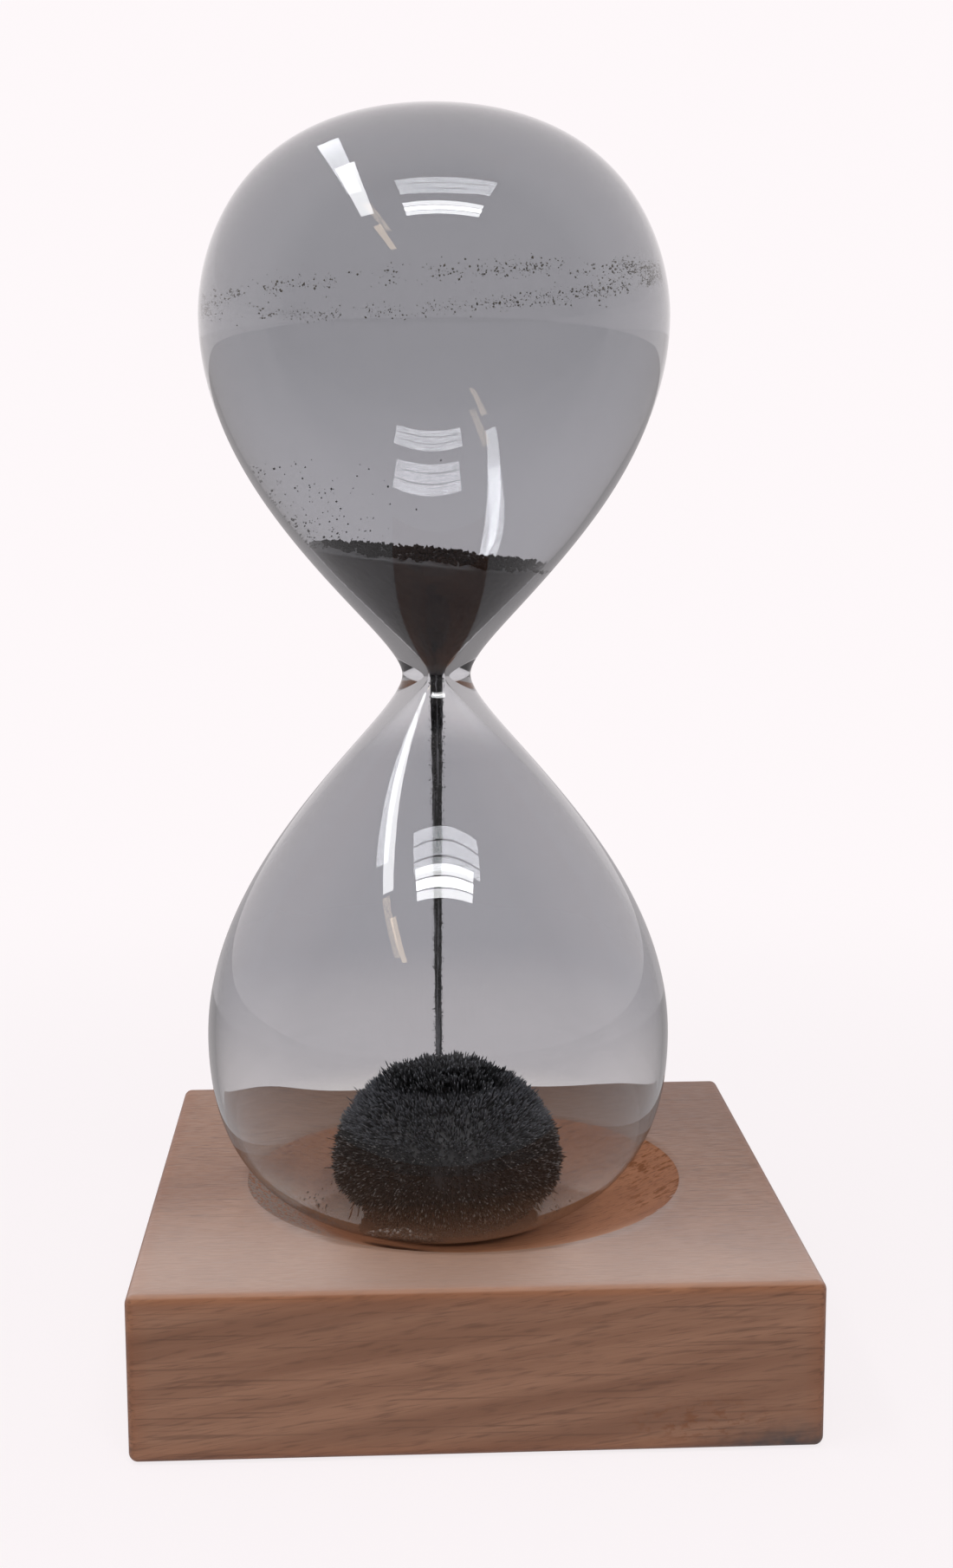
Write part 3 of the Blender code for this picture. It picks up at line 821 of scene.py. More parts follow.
def needle_finish(powder):
    """Powder on the magnet: a black crown, painted reflections (the floor's, grey, on the shoulder, the
    wood's, brown black, below), needles painted dark towards their roots as shade, and painted highlights on
    some tips.
    """
    finish, tree, shader = new_finish("iron_needles")
    spot = object_place(tree)
    low, high = MOUND_LOW.z, MOUND_HIGH.z
    drift = fade(tree, noise(tree, spot, detail=2.0, rough=0.5, scale=420.0), 0.0, 1.0, -0.0004, 0.0004)
    strayed = maths(tree, "ADD", part_of(tree, spot, "Z"), drift)
    shoulder, crown = (
        fade(tree, strayed, *(low + share * (high - low) for share in shares))
        for shares in (SHOULDER_SHARES, CROWN_SHARES))
    # Painted reflections: the floor's over the shoulder, the wood's below it
    tone = mixed(tree, shoulder, rgba(powder.painted_wood_reflection), rgba(powder.painted_floor_reflection))
    tone = mixed(tree, crown, tone, rgba(powder.grain))
    grit = grouped(tree, iron_grit(), {"Vector": spot, "Grains": NEEDLE_GRIT})
    tip = stored(tree, "tip")
    # Painted shade: each needle darkens towards its root
    painted_root_shade = mixed(tree, fade(tree, tip, 0.1, 0.9), rgba(powder.black), tone)
    # Painted highlights on the tips of some needles, and on some grains of the clump
    painted_tip_highlights = times(tree, fade(tree, stored(tree, "chance"), 0.50, 0.95), fade(tree, tip, 0.60, 0.93))
    glint = larger(tree, painted_tip_highlights, times(tree, grit["Glint"], fade(tree, tip, 0.3, 1.0, 0.0, 0.35)))
    tips = mixed(tree, shoulder, rgba(powder.bright), rgba(powder.dull))
    wire(tree, shader, Base_Color=mixed(tree, glint, painted_root_shade, tips),
         Roughness=fade(tree, glint, 0.0, 0.8, 0.62, 0.36),
         Normal=bumped(tree, grit["Height"], distance=0.00008, strength=0.6))
    hold(shader, Specular_IOR_Level=0.2)
    return finish


# Shapes of the block

def block_path(half, corner):
    """A rounded square seen from above: centres of curvature, outward normals, in order round the block.

    A side's points are spread evenly by bearing; a corner is a quarter circle between two sides.
    """
    reach = half - corner
    lean = math.atan2(reach, half)
    side_y = half * np.tan(np.linspace(-lean, lean, SIDE_COLUMNS))
    bend = np.linspace(0.0, math.pi / 2, CORNER_COLUMNS + 2)[1:-1]
    centres = np.vstack([
        np.column_stack([np.full(SIDE_COLUMNS, reach), np.clip(side_y, -reach, reach)]),
        np.full((CORNER_COLUMNS, 2), reach)])
    normals = np.vstack([
        np.tile((1.0, 0.0), (SIDE_COLUMNS, 1)), np.column_stack([np.cos(bend), np.sin(bend)])])
    quarter = np.array(((0.0, 1.0), (-1.0, 0.0)))
    turns = [np.linalg.matrix_power(quarter, step) for step in range(4)]
    return np.vstack([centres @ turn for turn in turns]), np.vstack([normals @ turn for turn in turns])


def block_rings(block):
    """The block as rings from the middle of its dish, over the top, down the sides and up into the pocket.

    Inside, a ring is a circle; the dish is the lower cap of a large ball. Outside, a ring is the rounded
    square drawn in by the rounding of the edge; on the flats a ring lies between the two.
    """
    top, rounding = BLOCK_HIGH.z, block.edge_radius
    centres, normals = block_path(BLOCK_HALF, rounding)
    bearing = np.arctan2(*(centres + rounding * normals).T[::-1])
    round_way = np.column_stack([np.cos(bearing), np.sin(bearing)])
    inner_rows = np.linspace(0.0, 1.0, FLAT_ROWS)[1:-1, None, None]

    def raised(flat, height):
        height = np.broadcast_to(np.asarray(height)[:, None, None], (*flat.shape[:2], 1))
        return np.concatenate([flat, height], axis=2)

    def circles(radius, height):
        return raised(np.asarray(radius)[:, None, None] * round_way, height)

    def squares(inset, height):
        return raised(centres + (rounding - np.asarray(inset)[:, None, None]) * normals, height)

    def between(inner, outer):
        return inner + inner_rows * (outer - inner)

    ball = (block.dish_radius ** 2 + block.dish_depth ** 2) / (2 * block.dish_depth)
    dip = np.linspace(0.0, math.asin(block.dish_radius / ball), DISH_ROWS + 1)
    dish = circles(ball * np.sin(dip), top - block.dish_depth + ball * (1 - np.cos(dip)))
    dish[-1, :, 2] -= SUPPORT
    rim = circles([block.dish_radius + SUPPORT], [top])
    bend = np.linspace(0.0, math.pi / 2, EDGE_ROWS + 1)
    upper_edge = squares(rounding * (1 - np.sin(bend)), top - rounding * (1 - np.cos(bend)))
    lower_edge = upper_edge[::-1] * (1, 1, -1) + (0, 0, top)
    pad_radius = (PAD_HIGH.x - PAD_LOW.x) / 2 + FIT_GAP
    pocket_radius = (ADHESIVE_HIGH.x - ADHESIVE_LOW.x) / 2 + FIT_GAP
    seat, roof = PAD_HIGH.z + FIT_GAP, ADHESIVE_HIGH.z + FIT_GAP
    under = circles(
        [pad_radius + SUPPORT, pad_radius, pad_radius, pad_radius - SUPPORT, pocket_radius + SUPPORT,
         pocket_radius, pocket_radius, pocket_radius - SUPPORT, 0.0],
        [0.0, SUPPORT, seat - SUPPORT, seat, seat, seat + SUPPORT, roof - SUPPORT, roof, roof])
    return np.concatenate([
        dish, rim, between(rim, upper_edge[:1]), upper_edge, between(upper_edge[-1:], lower_edge[:1]),
        lower_edge, between(lower_edge[-1:], under[:1]), under])


def block_masks(block, rings):
    """Where the wood is turned, varnished, given painted light or painted shade, dusty, torn, rounded or
    stained, at each corner.

    The dish ends sharply at its rim. The other marks fade by S-curves of a distance or a bearing.
    """
    x, y, z = np.moveaxis(rings, -1, 0)
    top, rounding = BLOCK_HIGH.z, block.edge_radius
    radius, bearing = np.hypot(x, y), np.degrees(np.arctan2(y, x))
    in_dish = (radius <= block.dish_radius) & (z > top - block.dish_depth - FIT_GAP)
    upper = (z > top - 0.3 * rounding) & ~in_dish
    in_front = y < BLOCK_LOW.y + rounding
    wall = in_dish * smooth(radius, 0.70 * block.dish_radius, 0.86 * block.dish_radius)
    from_dust = np.abs((bearing - DUST_BEARING + 180.0) % 360.0 - 180.0)
    from_tear = np.minimum(np.abs(bearing - TEAR_BEARINGS[0]), 1.6 * np.abs(bearing - TEAR_BEARINGS[1]))
    from_side = np.minimum(BLOCK_HALF - np.abs(x), BLOCK_HALF - np.abs(y))
    from_flat_edge = from_side + np.minimum(z, top - z)
    from_upright_edge = 2 * BLOCK_HALF - np.abs(x) - np.abs(y)
    flat_edge, upright_edge = (
        smooth(-way, -1.6 * rounding, -0.5 * rounding) for way in (from_flat_edge, from_upright_edge))
    from_smudge, from_flakes = (
        np.hypot((x - oval.x) / oval.half_width, (z - oval.z) / oval.half_height)
        for oval in (SMUDGE, FLAKES))
    flakes = smooth(-from_flakes, -1.0, -0.3) * in_front
    lee = smooth(y, -0.036, 0.002)
    # Painted light: the front of the top made paler in place of its sheen, the front of the dish in place of
    # the light that reaches it under the glass
    front_top, front_dish = smooth(-y - 0.15 * x, 0.010, 0.037), smooth(-y, 0.012, 0.025)
    return {
        "dish": in_dish.astype(float),
        "varnish": 0.2 + upper * (0.70 * (1 - lee) - 0.2 * lee) - 0.2 * in_dish,
        "bleached": upper * 0.50 * front_top + in_dish * front_dish,
        # Painted shade: the back right of the top, darkened as if the glass shadowed it
        "shaded": upper * 0.34 * smooth(x + 0.8 * y, -0.005, 0.060),
        "dust": wall * smooth(-from_dust, -46.0, -14.0) * 0.9,
        "torn": np.maximum(wall * smooth(-from_tear, -24.0, -8.0), 0.6 * flakes),
        "edge": np.maximum(flat_edge, upright_edge) * (z > 0),
        "stain": smooth(-from_smudge, -1.0, -0.15) * in_front}


def felt_rings():
    """The felt pad as rings: two flat faces joined by a half-round edge, all of it a little uneven."""
    radius, low, top = (PAD_HIGH.x - PAD_LOW.x) / 2, PAD_LOW.z, PAD_HIGH.z
    half = (top - low) / 2
    bend = np.linspace(math.pi / 2, -math.pi / 2, PAD_EDGE_ROWS)
    flat = np.linspace(0.0, radius - half, PAD_FLAT_ROWS)[:-1]
    out = np.concatenate([flat, radius - half + half * np.cos(bend), flat[::-1]])
    level = np.ones(len(flat))
    height = np.concatenate([top * level, low + half + half * np.sin(bend), low * level])
    rings = turned(out[:, None], height[:, None], bearings(PAD_COLUMNS)[None])
    fuzz = 0.5 + 0.5 * lumps(rings, 0.0009, 21)
    middle = np.array(((PAD_LOW.x + PAD_HIGH.x) / 2, (PAD_LOW.y + PAD_HIGH.y) / 2, low + half))
    shrunk = 1 - np.stack([0.004 * fuzz, 0.004 * fuzz, 0.18 * fuzz], axis=-1)
    return middle + (rings - (0, 0, low + half)) * shrunk


# Shapes of the glass

def glass_rings(glass):
    """The glass as rings: down the outside from the upper pole, through the fill hole and up the inside.

    The outline is turned about the glass's axis, and each wall strays by slow random swells. A second grid
    says which corners are on the outside.
    """
    upper, lower, down = upper_bulb(glass), lower_bulb(glass), np.array((1.0, -1.0))
    lower_outside, lower_inside = (
        cut_at(outline(glass, lower), glass.hole_radius) * down for outline in (outer_outline, inner_outline))
    outside = np.vstack([outer_outline(glass, upper)[:0:-1], lower_outside])
    inside = np.vstack([lower_inside[:0:-1], inner_outline(glass, upper)])
    outline = np.vstack([outside, inside])
    rings = turned(outline[:, :1], NECK_Z + outline[:, 1:], bearings(GLASS_COLUMNS)[None])
    stray = lumps(rings, 0.013, 31)
    stray[len(outside):] = 1.6 * lumps(rings[len(outside):], 0.011, 32)
    ends = np.minimum(UPPER_LENGTH - outline[:, 1], LOWER_LENGTH + outline[:, 1])
    held = smooth(ends, 0.002, 0.012) * smooth(outline[:, 0], 0.0008, 0.004)
    radius = np.hypot(rings[..., 0], rings[..., 1])
    swell = 1 + glass.wave * stray * held[:, None] / np.maximum(radius, glass.wave)
    rings = rings * np.stack([swell, swell, np.ones_like(swell)], axis=-1) + (GLASS_X, 0.0, 0.0)
    return rings, np.repeat(np.arange(len(outline)) < len(outside), GLASS_COLUMNS).reshape(rings.shape[:2])


def seal_rings():
    """The button melted into the fill hole: a low drum with rounded rims."""
    radius, low, top = (SEAL_HIGH.x - SEAL_LOW.x) / 2, SEAL_LOW.z, SEAL_HIGH.z
    rim = (top - low) / 4
    bend = np.linspace(0.0, math.pi / 2, SEAL_RIM_ROWS)
    out = np.concatenate([[0.0], radius - rim + rim * np.sin(bend), radius - rim + rim * np.cos(bend), [0.0]])
    height = np.concatenate([
        [top], top - rim + rim * np.cos(bend), low + rim - rim * np.sin(bend), [low]])
    return turned(out[:, None], height[:, None], bearings(SEAL_COLUMNS)[None], GLASS_X)


# Shapes of the powder

def heap_rings(glass, powder):
    """The heap as rings: up the funnel just clear of the glass, then in over a tilted, crumbly top.

    On each bearing the rim is where the tilted level meets the glass.
    """
    angles, slope = bearings(HEAP_COLUMNS), math.tan(powder.heap_tilt)
    rim = np.full(HEAP_COLUMNS, powder.heap_level)
    for _ in range(RIM_PASSES):
        rim = powder.heap_level - slope * inside_radius(glass, rim) * np.cos(angles)
    rise = np.linspace(0.0, 1.0, HEAP_SIDE_ROWS + 1)[:, None] ** 0.8
    side_height = powder.heap_foot + (rim - powder.heap_foot) * rise
    side_radius = inside_radius(glass, side_height) - powder.wall_gap
    side = turned(side_radius, side_height, angles[None])
    pitted = 0.00016 * (1 + lumps(side, 0.00034, 41)) / np.maximum(side_radius, 0.001)
    side[..., :2] *= 1 - pitted[..., None]
    share = np.linspace(1.0, 0.0, HEAP_TOP_ROWS + 1)[1:, None]
    top = turned(share * side_radius[-1], 0.0, angles[None])
    crumbs = 0.00042 * lumps(top, 0.0011, 42) + 0.00030 * lumps(top, 0.00045, 43)
    top[..., 2] = powder.heap_level - slope * top[..., 0] + 0.0002 + crumbs * smooth(1 - share, 0.0, 0.06)
    foot = turned(np.zeros((1, 1)), powder.heap_foot, angles[None])
    return np.concatenate([foot, side, top]) + (GLASS_X, 0.0, NECK_Z)


def heap_crumbs(glass, powder):
    """Grains that lie on the heap: even over its top, a few of them coarse."""
    draw = np.random.default_rng(51)
    number = HEAP_GRAINS
    reach = inside_radius(glass, powder.heap_level) * 0.975 * np.sqrt(draw.uniform(0.0, 1.0, number))
    angles = draw.uniform(0.0, 2 * math.pi, number)
    places = turned(reach, 0.0, angles)
    size = 0.00015 + 0.00026 * draw.uniform(0.0, 1.0, number) ** 3
    places[:, 2] = powder.heap_level - math.tan(powder.heap_tilt) * places[:, 0] + 0.0004 + 0.6 * size
    places[:, 2] += 0.00030 * lumps(places * (1, 1, 0), 0.0011, 42)
    sizes = size[:, None] * draw.uniform(0.7, 1.25, (number, 3))
    return places + (GLASS_X, 0.0, NECK_Z), random_turns(draw, number), sizes


def stream_radius(powder, height):
    """Radius of the falling stream: it thins as the grains speed up, by the square root of the fall."""
    fall = np.clip((STREAM_HIGH.z - height) / (STREAM_HIGH.z - STREAM_LOW.z), 0.0, 1.0)
    thinned = powder.stream_top + (powder.stream_end - powder.stream_top) * np.sqrt(fall)
    return np.minimum(thinned, STREAM_LIMIT)


def stream_rings(powder):
    """The stream as rings: a tapered thread with a ragged skin, closed at both ends."""
    height = np.linspace(STREAM_HIGH.z, STREAM_LOW.z, STREAM_ROWS)[:, None]
    rings = turned(np.ones((STREAM_ROWS, 1)) * 0.001, height, bearings(STREAM_COLUMNS)[None])
    ragged = 0.84 + 0.16 * lumps(rings * (1, 1, 0.5), 0.0004, 61)
    radius = stream_radius(powder, height) * ragged
    radius[[0, -1]] = 0.0
    return turned(radius, height, bearings(STREAM_COLUMNS)[None], GLASS_X)


def stream_grains(powder):
    """Single grains that fall beside the thread, thicker towards its middle."""
    draw = np.random.default_rng(62)
    number = STREAM_GRAINS
    height = STREAM_LOW.z + (STREAM_HIGH.z - STREAM_LOW.z) * draw.uniform(0.0, 0.97, number)
    away = stream_radius(powder, height) * (0.75 + 0.55 * np.abs(draw.normal(0.0, 0.6, number)))
    places = turned(np.minimum(away, 0.001), height, draw.uniform(0.0, 2 * math.pi, number), GLASS_X)
    sizes = draw.uniform(0.00005, 0.00011, (number, 1)) * draw.uniform(0.8, 1.3, (number, 3))
    return places, random_turns(draw, number), sizes


def mound_outline(glass, powder, sunk):
    """Outline of the mound from its crown to its foot on the glass, drawn in by a depth: (radius, height)."""
    floor = MOUND_LOW.z
    radius, crown = powder.mound_radius - sunk, floor + powder.mound_height - sunk
    widest = floor + powder.mound_widest
    dome = bezier(
        (0.0, crown), (powder.crown_run, crown),
        (radius, widest + powder.flank_run), (radius, widest), MOUND_ROWS)
    foot = (powder.mound_foot - sunk, float(floor_height(glass, powder.mound_foot)) + FIT_GAP)
    middle = (widest + foot[1]) / 2
    tuck = bezier((radius, widest), (radius, middle), (foot[0], middle), foot, MOUND_ROWS // 3)
    return np.vstack([dome, tuck[1:]])


def mound_rings(glass, powder):
    """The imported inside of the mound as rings, rough all over."""
    outline = np.vstack([
        mound_outline(glass, powder, 0.0003), (0.0, float(floor_height(glass, 0.0)) + FIT_GAP)])
    rings = turned(outline[:, :1], outline[:, 1:], bearings(MOUND_COLUMNS)[None], GLASS_X + MOUND_SHIFT)
    swell = 1 + 0.012 * lumps(rings, 0.0008, 71)
    swell[-1] = 1.0
    middle = np.array((GLASS_X + MOUND_SHIFT, 0.0, MOUND_LOW.z))
    return middle + (rings - middle) * np.stack([swell, swell, np.minimum(swell, 1.01)], axis=-1)


def needle_roots(glass, powder):
    """Where needles stand on the mound and which way they point.

    Places are even over the surface: the outline's running area is met at even random steps. A needle stands
    square to the surface, leans upwards near the crown, and bends towards the middle of its own tuft.
    """
    draw = np.random.default_rng(72)
    outline = mound_outline(glass, powder, 0.0002)
    run = np.diff(outline, axis=0)
    area = np.concatenate([[0.0], np.cumsum(np.hypot(*run.T) * (outline[1:, 0] + outline[:-1, 0]) / 2)])
    spot = np.interp(draw.uniform(0.0, area[-1], powder.needles), area, np.arange(len(outline)))
    row = np.minimum(spot.astype(int), len(run) - 1)
    part = (spot - row)[:, None]
    radius, height = (outline[row] + part * run[row]).T
    angles = draw.uniform(0.0, 2 * math.pi, powder.needles)
    out, up = unit(np.column_stack([-run[:, 1], run[:, 0]]))[row].T
    roots = turned(radius, height, angles)
    way = turned(out, up, angles)
    share = (height - MOUND_LOW.z) / powder.mound_height
    way[:, 2] += 0.45 * smooth(share, 0.78, 1.0) - 0.10 * smooth(share, 0.45, 0.10)
    tuft = np.stack([lumps(roots, 0.0016, seed) for seed in (73, 74, 75)], axis=-1)
    tuft *= (0.14 + 0.26 * smooth(share, 0.70, 0.95))[:, None]
    way = unit(unit(way) + tuft + draw.normal(0.0, 0.10, (powder.needles, 3)))
    return draw, roots, way, share


def needle_mesh(glass, powder):
    """Needles in one mesh: three-sided spikes with a blunt tip, bent a little, each closed at its root.

    A spine point is root + direction * length * t + bend * t^2; its ring is three points round the spine.
    Needles are longest on the crown, in tufts, and short at the foot.
    """
    draw, roots, way, share = needle_roots(glass, powder)
    number = len(roots)
    crown, tufted = smooth(share, 0.75, 1.0), smooth(share, 0.70, 0.95)
    reach = powder.needle_length * draw.uniform(0.55, 1.0, number) * (1 + 0.15 * crown)
    reach *= 1 + (0.16 + 0.26 * tufted) * np.clip(lumps(roots, 0.0013, 76), -0.7, 1.0)
    reach = np.where(draw.uniform(0.0, 1.0, number) < 0.005, 1.45 * powder.needle_length, reach)
    reach *= 0.35 + 0.65 * smooth(share, 0.04, 0.26)
    width = powder.needle_width / 2 * draw.uniform(0.7, 1.25, number) * (1 + 0.55 * crown)
    bend = draw.normal(0.0, 0.00012, (number, 3))
    across = unit(np.cross(way, draw.normal(size=(number, 3))))
    beside = np.cross(way, across)
    steps, girth = np.array((0.0, 0.88, 1.0)), np.array((1.0, 0.70, 0.0))
    spine = roots[:, None] + way[:, None] * (reach[:, None] * steps)[..., None]
    spine = spine + bend[:, None] * (steps ** 2)[:, None]
    turn = bearings(3)
    ring = across[:, None, None] * np.cos(turn)[:, None] + beside[:, None, None] * np.sin(turn)[:, None]
    corners = spine[:, :2, None] + ring * (width[:, None] * girth[:2])[..., None, None]
    corners = np.concatenate([corners.reshape(number, 6, 3), spine[:, 2:]], axis=1)
    corners[..., 0] += MOUND_SHIFT
    floor = floor_height(glass, np.hypot(corners[..., 0], corners[..., 1])) + 0.0001
    corners[..., 2] = np.maximum(corners[..., 2], floor)
    joint = np.array([(k, (k + 1) % 3, 3 + (k + 1) % 3, 3 + k) for k in range(3)])
    point = np.array([(3, 4, 6), (4, 5, 6), (5, 3, 6), (2, 1, 0)])
    first = 7 * np.arange(number)[:, None, None]
    mesh = mesh_of(
        "mound_needles", (corners + (GLASS_X, 0.0, 0.0)).reshape(-1, 3),
        (point[None] + first).reshape(-1, 3), (joint[None] + first).reshape(-1, 4))
    give_values(mesh, "tip", np.tile(np.append(np.repeat(steps[:2], 3), 1.0), number))
    give_values(mesh, "chance", np.repeat(draw.uniform(0.0, 1.0, number), 7))
    return mesh


def clump_grains(glass):
    """A stray clump: grains heaped over an oval patch of the lower cap, its long side across the way out."""
    draw = np.random.default_rng(81)
    number = CLUMP_GRAINS
    middle = (CLUMP_LOW + CLUMP_HIGH) / 2
    out = unit(np.array((middle.x - GLASS_X, middle.y)))
    across = np.array((-out[1], out[0]))
    far = np.hypot(middle.x - GLASS_X, middle.y)
    reach, angles = np.sqrt(draw.uniform(0.0, 1.0, number)), draw.uniform(0.0, 2 * math.pi, number)
    outward = far + CLUMP_HALF_DEPTH * reach * np.sin(angles)
    sideways = CLUMP_HALF_WIDTH * reach * np.cos(angles)
    flat = outward[:, None] * out + sideways[:, None] * across
    height = (CLUMP_HIGH.z - CLUMP_LOW.z) * 0.72 * (1 - reach ** 2) * draw.uniform(0.0, 1.0, number)
    size = draw.uniform(0.00012, 0.00024, number)
    floor = floor_height(glass, np.hypot(*flat.T))
    places = np.column_stack([flat[:, 0] + GLASS_X, flat[:, 1], floor + height + size])
    return strewn(draw, places, size, 0.7, 1.5)


def clump_chances(corners):
    """A chance of a painted highlight for each grain of the clump, the same at all its corners."""
    chances = np.random.default_rng(82).uniform(0.0, 1.0, CLUMP_GRAINS) ** 2
    return np.repeat(chances, corners // CLUMP_GRAINS)


def wall_grains(glass, powder):
    """Grains that cling to the inside of the upper bulb, over the high side of the heap, thinning upwards."""
    draw = np.random.default_rng(91)
    number = WALL_GRAINS
    angles = np.radians(draw.normal(WALL_BEARING, WALL_SPREAD, number))
    height = powder.heap_level + 0.0022 + 0.0105 * draw.uniform(0.0, 1.0, number) ** 1.6
    size = 0.00006 + 0.00011 * draw.uniform(0.0, 1.0, number) ** 2
    places = turned(inside_radius(glass, height) - size, NECK_Z + height, angles, GLASS_X)
    return strewn(draw, places, size, 0.8, 1.3)


def ring_specks(glass):
    """A tide mark of fine dust round the upper bulb: a tilted ring that comes and goes along its length."""
    draw = np.random.default_rng(92)
    number = RING_GRAINS
    angles = draw.uniform(0.0, 2 * math.pi, number)
    spread = draw.normal(0.0, 0.00055, number)
    round_way = turned(np.full(number, 0.028), 2 * spread, angles)
    kept = draw.uniform(-0.6, 0.9, number) < lumps(round_way, 0.0026, 93) + 0.25 * np.cos(angles)
    angles, spread = angles[kept], spread[kept]
    height = TIDE_HEIGHT + TIDE_TILT * np.cos(angles) + spread
    size = 0.00004 + 0.00011 * draw.uniform(0.0, 1.0, len(angles)) ** 3
    places = turned(inside_radius(glass, height) - size, NECK_Z + height, angles, GLASS_X)
    return strewn(draw, places, size, 0.8, 1.4)


def floor_specks(glass, powder):
    """Grains strewn round the mound's foot, on the inside of the lower cap."""
    draw = np.random.default_rng(94)
    number = FLOOR_GRAINS
    away = powder.mound_foot + 0.0052 + 0.0011 * draw.normal(size=number)
    size = 0.00004 + 0.00008 * draw.uniform(0.0, 1.0, number) ** 2
    places = turned(away, floor_height(glass, away) + size, draw.uniform(0.0, 2 * math.pi, number), GLASS_X)
    return strewn(draw, places, size, 0.8, 1.4)


# Operators

class HOURGLASS_OT_block(bpy.types.Operator):
    """Build the beech block with its rounded edges, turned dish and pocket"""

    bl_idname = "hourglass.block"
    bl_label = "Beech Block"

    def execute(self, context):
        block = context.scene.hourglass_block
        rings = block_rings(block)
        mesh = skin("wood_block", rings)
        for name, values in block_masks(block, rings).items():
            give_values(mesh, name, ring_values(values))
        place(mesh, beech_finish(block), "base", "beech", "base_block")
        return {"FINISHED"}


class HOURGLASS_OT_pocket(bpy.types.Operator):
    """Finish what lies in the pocket: adhesive, magnet, plug and felt pad"""

    bl_idname = "hourglass.pocket"
    bl_label = "Magnet and Pad"

    def execute(self, context):
        block = context.scene.hourglass_block
        finishes = {
            "magnet": nickel_finish(block), "magnet_adhesive": adhesive_finish(block),
            "pocket_plug": plug_finish(block)}
        for name, finish in finishes.items():
            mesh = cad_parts[name].data
            mesh.materials.clear()
            mesh.materials.append(finish)
        felt = place(skin("felt_disc", felt_rings()), felt_finish(block), "base", "grey_felt", "felt_pad")
        return {"FINISHED"}


class HOURGLASS_OT_glass(bpy.types.Operator):
    """Blow the glass and seal its fill hole"""

    bl_idname = "hourglass.glass"
    bl_label = "Glass"

    def execute(self, context):
        glass = context.scene.hourglass_glass
        finish = glass_finish(glass)
        rings, outside = glass_rings(glass)
        bulbs = skin("glass_bulbs", rings)
        give_values(bulbs, "outside", ring_values(outside.astype(float)))
        place(bulbs, finish, "glass", "clear_glass", "glass_vessel")
        place(skin("seal_button", seal_rings()), finish, "glass", "clear_glass", "fill_seal")
        return {"FINISHED"}


class HOURGLASS_OT_heap(bpy.types.Operator):
    """Pour the heap in the upper bulb, with the crumbs on it and the grains on the glass"""

    bl_idname = "hourglass.heap"
    bl_label = "Upper Powder"

    def execute(self, context):
        glass, powder = context.scene.hourglass_glass, context.scene.hourglass_powder
        pour(skin("powder_heap", heap_rings(glass, powder)), heap_finish(powder), "upper_powder")
        pour(scattered("heap_crumbs", *heap_crumbs(glass, powder)), crumb_finish(powder))
        pour(scattered("wall_grains", *wall_grains(glass, powder)), crumb_finish(powder))
        pour(scattered("ring_specks", *ring_specks(glass)), dust_finish(powder))
        return {"FINISHED"}


class HOURGLASS_OT_stream(bpy.types.Operator):
    """Let the stream fall from the waist to the mound"""

    bl_idname = "hourglass.stream"
    bl_label = "Falling Stream"

    def execute(self, context):
        powder = context.scene.hourglass_powder
        pour(skin("stream_thread", stream_rings(powder)), stream_finish(powder), "powder_stream")
        pour(scattered("stream_grains", *stream_grains(powder)), heap_finish(powder))
        return {"FINISHED"}


class HOURGLASS_OT_mound(bpy.types.Operator):
    """Draw the powder up over the magnet: the mound, its needles, the stray clump and loose grains"""

    bl_idname = "hourglass.mound"
    bl_label = "Magnet's Mound"

    def execute(self, context):
        glass, powder = context.scene.hourglass_glass, context.scene.hourglass_powder
        finish, spikes = heap_finish(powder), needle_finish(powder)
        pour(skin("mound_core", mound_rings(glass, powder)), finish, "powder_mound")
        pour(needle_mesh(glass, powder), spikes, "powder_mound")
        clump = scattered("clump_grains", *clump_grains(glass))
        give_values(clump, "tip", np.ones(len(clump.vertices)))
        give_values(clump, "chance", clump_chances(len(clump.vertices)))
        pour(clump, spikes, "powder_clump")
        pour(scattered("floor_specks", *floor_specks(glass, powder)), finish)
        return {"FINISHED"}


# Stage

def floor_finish(stage):
    """Pale floor that shows as the background and keeps the block's shadow.

    In gloss it is dimmer, most of all in front of the block, where it ends.
    """
    finish, tree, shader = new_finish("pale_floor")
    spot = object_place(tree)
    away = node(tree, "VectorMath", {0: spot}, operation="LENGTH").outputs["Value"]
    ahead = part_of(tree, spot, "Y")
    path = node(tree, "LightPath").outputs
    first = maths(tree, "LESS_THAN", path["Diffuse Depth"], 0.5)
    looked = larger(tree, path["Is Camera Ray"], path["Is Transmission Ray"])
    shown = times(tree, looked, fade(tree, away, 0.06, 0.30, 0.86, 1.0))
    gloss = times(tree, path["Is Glossy Ray"], minus(tree, 1.0, looked))
    inner = fade(tree, path["Transmission Depth"], 0.0, 1.0, 1.0, stage.inner_gloss)
    sides = fade(tree, ahead, -0.110, -0.020, stage.front_gloss, stage.side_gloss)
    dim = times(tree, times(tree, sides, inner), fade(tree, ahead, -0.185, -0.155))
    glow = node(tree, "Emission", {"Color": rgba(stage.background), "Strength": larger(tree, looked, dim)})
    hold(shader, Base_Color=rgba([0.82 * part for part in stage.background]), Roughness=0.9)
    share = times(tree, maths(tree, "ADD", shown, gloss), first)
    either = node(tree, "MixShader", {0: share, 1: shader.outputs["BSDF"], 2: glow.outputs[0]})
    surface(tree, either.outputs[0])
    return finish


